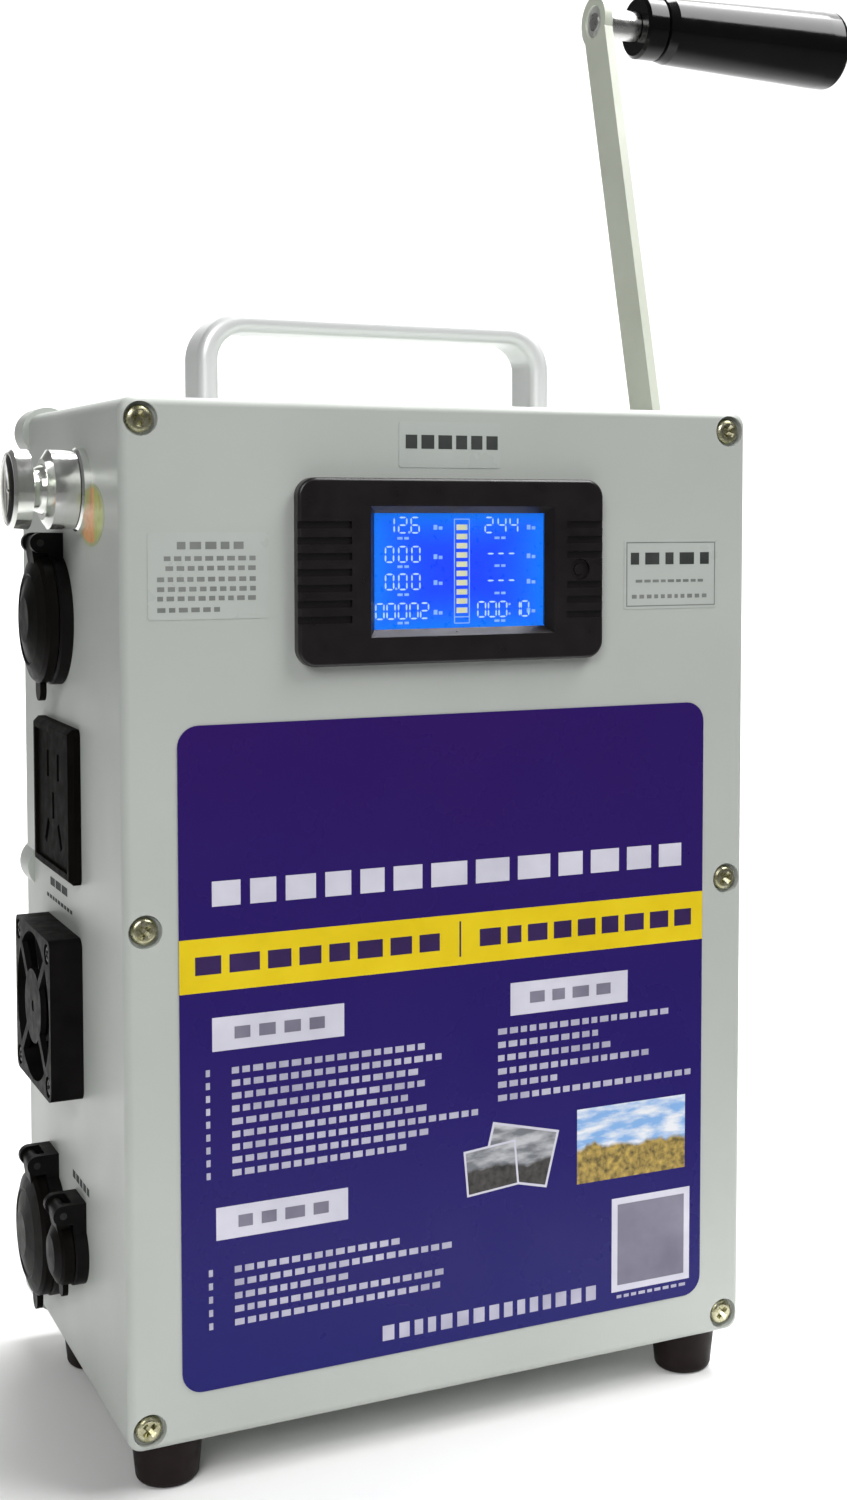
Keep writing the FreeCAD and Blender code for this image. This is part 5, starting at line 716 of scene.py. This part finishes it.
dark_rows += word_row(chance, 54.0, 79.7, 229.9, 3.4, 5, 2.0, ON_STICKER, 0.3)
OUTLINE_LEFT, OUTLINE_RIGHT, OUTLINE_LOW, OUTLINE_HIGH, EDGE = 52.6, 81.8, 216.3, 234.6, 0.3
pale_rows = []
for left, right, low, high in (
        (OUTLINE_LEFT, OUTLINE_RIGHT, OUTLINE_LOW, OUTLINE_LOW + EDGE),
        (OUTLINE_LEFT, OUTLINE_RIGHT, OUTLINE_HIGH - EDGE, OUTLINE_HIGH),
        (OUTLINE_LEFT, OUTLINE_LEFT + EDGE, OUTLINE_LOW + EDGE, OUTLINE_HIGH - EDGE),
        (OUTLINE_RIGHT - EDGE, OUTLINE_RIGHT, OUTLINE_LOW + EDGE, OUTLINE_HIGH - EDGE)):
    pale_rows.append(front_block(left, right, low, high, ON_STICKER))
blocks("sticker_dark_bars", dark_rows, sticker_ink)
pale_rows += word_row(chance, -77.4, -59.8, 234.4, 1.9, 5, 1.1, ON_STICKER)
for level, left, right, words in ((231.1, -80.8, -56.6, 9), (228.6, -80.4, -56.6, 9),
                                  (225.8, -82.6, -56.6, 10), (223.3, -82.6, -56.6, 10),
                                  (220.9, -82.6, -56.6, 10), (218.0, -82.6, -66.2, 6)):
    pale_rows += word_row(chance, left, right, level, 1.2, words, 0.9, ON_STICKER)
pale_rows += word_row(chance, 55.6, 77.8, 223.5, 0.8, 9, 0.7, ON_STICKER)
pale_rows += word_row(chance, 54.4, 79.0, 219.1, 1.1, 11, 0.9, ON_STICKER)
blocks("sticker_grey_bars", pale_rows, pale_ink)

# %% [markdown]
# ## Print on the left wall
# Under the mains outlet and beside the small sockets the wall itself carries short lines of
# small grey print. They are bars too. The block tree draws them as if they lay on the front,
# at the height of the left wall, and a quarter turn about the case's corner axis lays them on
# the wall: what was to the right then points to the front.

# %% Bars on the left wall
wall_ink = skin("wall_grey_ink", (0.045, 0.055, 0.05), (0.085, 0.095, 0.09), (0.5, 0.62), 0.4,
                0.003, 14.0, shine=0.03)
ON_WALL = HALF_WIDTH + PRINT / 2
wall_rows = []
for back, front, level, tall, words in ((84.3, 62.8, 135.6, 2.4, 3), (89.0, 57.0, 130.9, 1.1, 9),
                                        (60.0, 40.5, 56.2, 2.2, 5)):
    wall_rows += word_row(chance, -back, -front, level, tall, words, 1.0, ON_WALL)
print_mesh = grown("wall_bars", wall_rows, BLOCK_TREE, {"Thickness": PRINT * MM,
                                                        "Material": wall_ink})
print_mesh.transform(Matrix.Translation(CASE_ORIGIN) @ Matrix.Rotation(math.radians(-90), 4, "Z")
                     @ Matrix.Translation(-CASE_ORIGIN))
keep_piece("wall_bars", print_mesh, wall_ink, "case")

# %% [markdown]
# ## An oval sticker on the left wall
# A thin oval sticker, orange on its rear half and yellow green on its front half, sits below
# the lamp. It is a stretched disc, and its material measures from the disc's own centre: one
# coordinate parts the two halves and the distance draws the rim.

# %% Oval sticker
OVAL_BACK, OVAL_UP, OVAL_LONG, OVAL_TALL, OVAL_THICK = 29.6, 242.1, 28.6, 16.8, 0.12


def oval_print():
    finish, tree, shader = new_finish("oval_sticker_print")
    centre = spot(-HALF_WIDTH, OVAL_BACK, OVAL_UP)
    along, up = 2 / (OVAL_LONG * MM), 2 / (OVAL_TALL * MM)
    centred = surface_points(tree, (0.0, along, up), (0.0, -centre.y * along, -centre.z * up))
    reach = add_node(tree, "ShaderNodeVectorMath", {0: centred}, operation="LENGTH")
    speck = grain(tree, surface_points(tree), 2.4, 4.0)
    half = ranged(tree, axes_of(tree, centred)["Y"], 0.0, 1.0, -0.34, -0.16)
    halves = blended(tree, half, (0.46, 0.50, 0.14), (0.74, 0.36, 0.15))
    printed = blended(tree, ranged(tree, speck, 0.0, 0.6, 0.5, 0.75), halves, (0.42, 0.22, 0.08))
    rim = ranged(tree, reach.outputs["Value"], 0.0, 1.0, 0.84, 0.92)
    plug(tree, shader, {"Base Color": blended(tree, rim, printed, (0.40, 0.44, 0.25)),
                        "Roughness": ranged(tree, speck, 0.3, 0.45)})
    return finish


disc = lathe([(0.0, 0.0), (OVAL_TALL / 2, 0.0), (OVAL_TALL / 2, OVAL_THICK), (0.0, OVAL_THICK)])
bmesh.ops.transform(disc, verts=disc.verts,
                    matrix=Matrix.Translation(spot(-HALF_WIDTH, OVAL_BACK, OVAL_UP))
                    @ Matrix.Rotation(math.radians(-90), 4, "Y")
                    @ Matrix.Diagonal((1.0, OVAL_LONG / OVAL_TALL, 1.0, 1.0)))
keep_piece("oval_sticker", mesh_from(disc, "oval_sticker"), oval_print(), "case")

# %% [markdown]
# ## The display
# The meter shows four rows of numbers on each side of a column of ten bars. Each number is
# made of up to seven flat segments, and each segment is the same long hexagon, so a table of
# letters says which segments a number has, and the tree draws them all.

# %% Numbers of the display
window_low, window_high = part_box("meter_window")
SCREEN = (window_low + window_high) / 2
LIT = window_high.y
SEGMENTS = {"0": "ABCDEF", "1": "BC", "2": "ABGED", "4": "FGBC", "6": "AFGECD", "-": "G"}
DIGIT_WIDE, DIGIT_TALL, STROKE = 2.3, 4.1, 0.52


def on_screen(across, up):
    return Vector((SCREEN.x + across * MM, LIT - 0.06 * MM, SCREEN.z + up * MM))


def digit(sign, across, up):
    half_wide, half_tall = DIGIT_WIDE / 2, DIGIT_TALL / 2
    flat, upright = (DIGIT_WIDE * 0.86, 0.0), (half_tall * 0.9, math.radians(90))
    layout = {"A": (0, half_tall, flat), "G": (0, 0, flat), "D": (0, -half_tall, flat),
              "F": (-half_wide, half_tall / 2, upright),
              "B": (half_wide, half_tall / 2, upright),
              "E": (-half_wide, -half_tall / 2, upright),
              "C": (half_wide, -half_tall / 2, upright)}
    rows = []
    for letter in SEGMENTS[sign]:
        step_across, step_up, (long, turn) = layout[letter]
        rows.append((on_screen(across + step_across, up + step_up), long * MM, STROKE * MM, turn))
    return rows


ROWS_UP = (12.3, 4.5, -2.85, -10.7)
NUMBERS = list(zip(ROWS_UP, ("126", "000", "000", "00002"), (
    (-20.4, -16.8, -13.2), (-20.6, -16.8, -13.0), (-20.6, -16.8, -13.0),
    (-23.4, -20.2, -16.9, -13.6, -10.5))))
NUMBERS += zip(ROWS_UP, ("244", "---", "---", "00010"), (
    (8.6, 12.5, 16.1), (9.1, 12.2, 15.4), (9.1, 12.2, 15.4), (6.4, 9.6, 12.8, 16.7, 19.5)))
lit_rows = [row for up, signs, places in NUMBERS for sign, across in zip(signs, places)
            for row in digit(sign, across, up)]
print("segments in the numbers:", len(lit_rows))

# %% [markdown]
# ### Prints that glow
# The numbers, bars and marks let the backlight through, each in its own colour, so they glow
# a little themselves. They lie between the lit layer and the clear window.

# %% Glowing inks and the numbers
def lit_ink(name, colour, strength):
    """A print of the display that lets the backlight through."""
    finish = skin(name, tuple(0.8 * part for part in colour), colour, (0.3, 0.4), 0.5, 0.001, 4.0)
    plug(finish.node_tree, finish.node_tree.nodes["Principled BSDF"],
         {"Emission Color": (*colour, 1.0), "Emission Strength": strength})
    return finish


def lit_piece(name, rows, tree, finish):
    keep_piece(name, grown(name, rows, tree, {"Thickness": 0.04 * MM, "Material": finish}),
               finish, "case")


segment_ink = lit_ink("display_white_segments", (0.55, 0.80, 1.0), 0.55)
bar_ink = lit_ink("display_pale_yellow_bars", (0.80, 0.82, 0.50), 0.5)
mark_ink = lit_ink("display_blue_white_marks", (0.30, 0.55, 1.0), 0.5)
lit_piece("display_numbers", lit_rows, SEGMENT_TREE, segment_ink)

# %% [markdown]
# ### Bars and small marks
# Ten bars stand in a frame between the numbers. The units and captions are two small blocks
# each, and the dots are blocks as well, so the tree of blocks draws all of these.

# %% Bars and marks
def dot(across, up, wide, tall):
    return on_screen(across, up), wide * MM, tall * MM, 0.0


BAR_COUNT, BAR_TOP, BAR_PITCH, BAR_ACROSS = 10, 11.7, 2.5, 0.5
bars = [dot(BAR_ACROSS, BAR_TOP - BAR_PITCH * index, 3.2, 1.5) for index in range(BAR_COUNT)]
marks = [dot(across, up, 0.6, 0.6)
         for across, up in ((-14.9, 10.4), (-18.7, -4.7), (14.8, -9.4), (14.8, -12.0))]
FRAME_LEFT, FRAME_RIGHT, FRAME_LOW, FRAME_HIGH = -1.7, 2.7, -14.3, 13.9
FRAME_THIN, FRAME_FOOT = 0.3, 1.7
marks += [dot((FRAME_LEFT + FRAME_RIGHT) / 2, level, FRAME_RIGHT - FRAME_LEFT, FRAME_THIN)
          for level in (FRAME_LOW + FRAME_FOOT, FRAME_HIGH, FRAME_LOW)]
marks += [dot(side, (FRAME_LOW + FRAME_HIGH) / 2, FRAME_THIN, FRAME_HIGH - FRAME_LOW)
          for side in (FRAME_LEFT, FRAME_RIGHT)]
for up in (8.8, 1.2, -6.3, -13.9):
    for across in (-17.6, 11.0):
        marks += [dot(across, up, 1.5, 0.7), dot(across + 1.9, up, 1.3, 0.7)]
for up in (11.7, 3.8, -3.2, -11.2):
    for across in (-7.3, 20.6):
        marks += [dot(across, up, 1.1, 1.3), dot(across + 1.5, up - 0.2, 1.1, 0.9)]
lit_piece("display_bars", bars, BLOCK_TREE, bar_ink)
lit_piece("display_marks", marks, BLOCK_TREE, mark_ink)

# %% [markdown]
# ### The window over the display
# The clear window is one plate in the CAD frame, face to face with the lit layer. Here it
# starts a tenth of a millimetre in front of it, so the numbers lie behind glass, as they do.

# %% Window
PANE_GAP = 0.12
half_wide = (window_high.x - window_low.x) / 2 / MM
half_tall = (window_high.z - window_low.z) / 2 / MM
pane_front = (window_low.y - SCREEN.y) / MM


def by_screen(across, out, up):
    return SCREEN + MM * Vector((across, out, up))


pane = keep_piece("display_window", rounded_sheet(
    "display_window", -half_wide, half_wide, -half_tall, half_tall, 0.2, pane_front,
    (window_high.y - window_low.y) / MM - PANE_GAP, by_screen, 2), FINISH["clear_plastic"],
    "case")
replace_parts(pane, "meter_window")

# %% [markdown]
# ## Screws with cross recesses
# The cover is held by six pan head screws, the fan by four and the crank bearing by three.
# One screw of each size is turned on the lathe, and a cross with sloping ends is cut into its
# head with a Boolean, because a cutter is far simpler to describe than a head with a hole.

# %% One screw
def cross_screw(name, head, tall, shank, long):
    """A pan head screw with its seat at z = 0 and its head towards +z."""
    radius = head / 2
    profile = [(0.0, -long), (shank / 2 * 0.8, -long), (shank / 2, -long + 0.5), (shank / 2, 0.0),
               (radius, 0.0), (radius, tall * 0.35)]
    for step in range(1, 7):
        turn = math.radians(90 * step / 6)
        profile.append((radius - radius * 0.45 * (1 - math.cos(turn)),
                        tall * 0.35 + tall * 0.65 * math.sin(turn)))
    profile.append((0.0, tall))
    solid = bpy.data.objects.new(name, mesh_from(lathe(profile, 40), name))
    cutter = bmesh.new()
    for turn in (0.0, 90.0):
        reach, width, deep = radius * 0.62, radius * 0.2, tall * 0.72
        corners = []
        for level, along, across in ((tall + 0.2, reach, width),
                                     (tall - deep, reach * 0.25, width * 0.6)):
            for side, flank in ((-1, -1), (1, -1), (1, 1), (-1, 1)):
                place = Matrix.Rotation(math.radians(turn), 4, "Z") @ Vector(
                    (side * along * MM, flank * across * MM, level * MM))
                corners.append(cutter.verts.new(place))
        top, bottom = corners[:4], corners[4:]
        cutter.faces.new(top)
        cutter.faces.new(reversed(bottom))
        for index in range(4):
            after = (index + 1) % 4
            cutter.faces.new((top[after], top[index], bottom[index], bottom[after]))
    bmesh.ops.recalc_face_normals(cutter, faces=cutter.faces)
    cross = bpy.data.objects.new(name + "_cross", mesh_from(cutter, name + "_cross"))
    for thing in (solid, cross):
        bpy.context.scene.collection.objects.link(thing)
    cut = solid.modifiers.new("cross", "BOOLEAN")
    cut.operation = "DIFFERENCE"
    cut.solver = "EXACT"
    cut.use_self = True
    cut.object = cross
    bpy.context.view_layer.update()
    mesh = bpy.data.meshes.new_from_object(
        solid.evaluated_get(bpy.context.evaluated_depsgraph_get()))
    bpy.data.objects.remove(cross)
    bpy.data.objects.remove(solid)
    return mesh


# %% [markdown]
# ### Finding the places
# The places of the screws are in the CAD part: each of its loose solids is one screw, so the
# middle of each solid's box gives a place, and nothing has to be typed.

# %% Places of the solids of a node
def island_places(node, axis):
    """The middles of the separate solids of a node, from the boxes of its loose parts."""
    build = bmesh.new()
    build.from_mesh(frame["nodes"][node].data)
    bmesh.ops.remove_doubles(build, verts=build.verts, dist=1e-6)
    left, middles = set(build.verts), []
    while left:
        wave = [left.pop()]
        island = list(wave)
        while wave:
            vertex = wave.pop()
            for edge in vertex.link_edges:
                other = edge.other_vert(vertex)
                if other in left:
                    left.remove(other)
                    wave.append(other)
                    island.append(other)
        low = Vector([min(v.co[i] for v in island) for i in range(3)])
        high = Vector([max(v.co[i] for v in island) for i in range(3)])
        middles.append((low + high) / 2)
    build.free()
    return sorted(middles, key=lambda place: [round(place[i], 4) for i in range(3) if i != axis])


print("cover screws found:", len(island_places("lid_screws", 1)))

# %% [markdown]
# ### Screws in their places
# The heads of all screws stand 2 mm high on the wall they hold. The tree puts a copy at every
# place, each left at its own turn, as a screwdriver leaves them.

# %% The three sets of screws
HEAD_TALL = 2.0
SCREWS_AHEAD = random.Random(11)


def put_screws(name, node, head, shank, long, axis, end, facing, finish):
    """Screws of one size in place of a node; their heads reach the given end of its box."""
    source = bpy.data.objects.new(name + "_one", cross_screw(name + "_one", head, HEAD_TALL,
                                                             shank, long))
    bpy.context.scene.collection.objects.link(source)
    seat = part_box(node)[end][axis] + (HEAD_TALL if end == 0 else -HEAD_TALL) * MM
    rows = []
    for place in island_places(node, axis):
        place[axis] = seat
        rows.append((place, 0.0, 0.0, math.radians(SCREWS_AHEAD.uniform(0, 90))))
    mesh = grown(name, rows, SCREW_TREE, {"Screw": source, "Facing": facing, "Material": finish})
    bpy.data.objects.remove(source)
    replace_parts(keep_piece(name, mesh, finish, "case"), node)


QUARTER = math.radians(90)
put_screws("cover_screws", "lid_screws", 7.2, 4.0, 34.6, 1, 0, (QUARTER, 0.0, 0.0),
           FINISH["screw_steel"])
put_screws("fan_screws_cross", "fan_screws", 5.5, 3.0, 9.0, 0, 0, (0.0, -QUARTER, 0.0),
           blackened)
put_screws("bearing_screws_cross", "bearing_screws", 5.6, 3.0, 8.8, 0, 1, (0.0, QUARTER, 0.0),
           FINISH["screw_steel"])

# %% [markdown]
# ## The sheet it stands on
# The object stands on a pale sheet that runs back and then sweeps up behind it, so there is
# no edge in view. The sheet is graded, as backdrops often are: pale under and behind the
# object, dark grey towards the front, the left and the right. With a dim room it leaves the
# black plastic little that is bright to mirror.

# %% Sheet
DARK_END = (0.14, 0.14, 0.14)
FRONT_FADE, LEFT_FADE, RIGHT_FADE = (-0.44, -0.17), (-0.7, -0.32), (0.30, 0.15)
RIGHT_FADE_ALONG = (0.82, -0.57, 0.0)


def pale_sheet():
    finish, tree, shader = new_finish("sheet_pale")
    points = surface_points(tree)
    pale = blended(tree, ranged(tree, grain(tree, points, 400.0), 0.0, 1.0),
                   (0.86, 0.86, 0.855), (0.88, 0.88, 0.875))
    axes = axes_of(tree, points)
    across = add_node(tree, "ShaderNodeVectorMath", {0: points, 1: RIGHT_FADE_ALONG},
                      operation="DOT_PRODUCT").outputs["Value"]
    for level, ends in ((axes["Y"], FRONT_FADE), (axes["X"], LEFT_FADE), (across, RIGHT_FADE)):
        pale = blended(tree, ranged(tree, level, 0.0, 1.0, *ends), DARK_END, pale)
    plug(tree, shader, {"Base Color": pale, "Roughness": 0.8, "Specular IOR Level": 0.2})
    return finish


SHEET_LEFT, SHEET_RIGHT, SHEET_FRONT = -1.6, 3.6, -1.8
SHEET_BACK, SWEEP, SHEET_TOP = 1.4, 1.2, 3.6
path = [(SHEET_FRONT, 0.0), (SHEET_BACK, 0.0)]
for turn in range(6, 91, 6):
    lean = math.radians(turn)
    path.append((SHEET_BACK + SWEEP * math.sin(lean), SWEEP * (1 - math.cos(lean))))
path.append((SHEET_BACK + SWEEP, SHEET_TOP))
corners = [(side, back, up) for back, up in path for side in (SHEET_LEFT, SHEET_RIGHT)]
faces = [(2 * i, 2 * i + 1, 2 * i + 3, 2 * i + 2) for i in range(len(path) - 1)]
sheet_mesh = bpy.data.meshes.new("sheet")
sheet_mesh.from_pydata(corners, [], faces)
sheet_mesh.shade_smooth()
sheet = bpy.data.objects.new("sheet", sheet_mesh)
bpy.context.scene.collection.objects.link(sheet)
sheet_mesh.materials.append(pale_sheet())
sheet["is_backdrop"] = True
print("sheet faces:", len(faces))

# %% [markdown]
# ## Lamps and room
# A large soft lamp from the left lights the outlets and the front. A long one reaches from the
# front over the top and a dimmer one carries on behind. Both lie on the arch that the glossy
# grip mirrors to the camera, so it shows them as a broad pale streak. The last lamp lights
# only the sheet, and the room adds a little even light, so that no shadow is black.

# %% Lamps and room
def soft_lamp(name, place, aim, wide, long, power, along=(0.0, 0.0, 1.0)):
    """A glowing rectangle at place that faces aim, its long side as near to along as it goes."""
    light = bpy.data.lights.new(name, "AREA")
    light.shape = "RECTANGLE"
    light.size, light.size_y = wide, long
    light.energy = power
    lamp = bpy.data.objects.new(name, light)
    bpy.context.scene.collection.objects.link(lamp)
    lamp.location = place
    facing = (Vector(place) - Vector(aim)).normalized()
    side = Vector(along).cross(facing).normalized()
    lamp.rotation_euler = Matrix((side, facing.cross(side), facing)).transposed().to_euler()


def round_grip(turn):
    """A place on the arch that the grip mirrors to the camera, and the arch's run there."""
    level, lift = math.cos(math.radians(turn)), math.sin(math.radians(turn))
    place = Vector(GRIP_MIDDLE) + ARCH_AWAY * Vector((0.47, -0.88 * level, 0.88 * lift))
    return place, (0.0, lift, level)


MIDDLE = (0.0, 0.0, 0.2)
GRIP_MIDDLE, ARCH_AWAY = (0.10, 0.05, 0.42), 1.5
soft_lamp("key_lamp", (-1.2, -1.6, 1.4), MIDDLE, 1.1, 1.1, 25.5)
place, along = round_grip(66)
soft_lamp("long_lamp", place, GRIP_MIDDLE, 0.72, 1.4, 33.0, along)
place, along = round_grip(120)
soft_lamp("back_lamp", place, GRIP_MIDDLE, 0.5, 1.6, 9.0, along)
soft_lamp("sheet_lamp", (0.9, 1.0, 3.0), (1.4, 2.4, 0.9), 1.8, 1.6, 115.0)

room = bpy.data.worlds.new("dim_room")
room.use_nodes = True
room.node_tree.nodes["Background"].inputs["Color"].default_value = (1.0, 1.0, 1.0, 1.0)
room.node_tree.nodes["Background"].inputs["Strength"].default_value = 0.11
bpy.context.scene.world = room
bpy.context.scene.view_settings.view_transform = "Standard"

# %% [markdown]
# ## Sizes, and the end
# The dressed object should be as large as the CAD object, so its box is printed in metres.

# %% Sizes, and the end
low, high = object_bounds()
print("dressed box in metres:", [round(value, 4) for value in (*low, *high)])
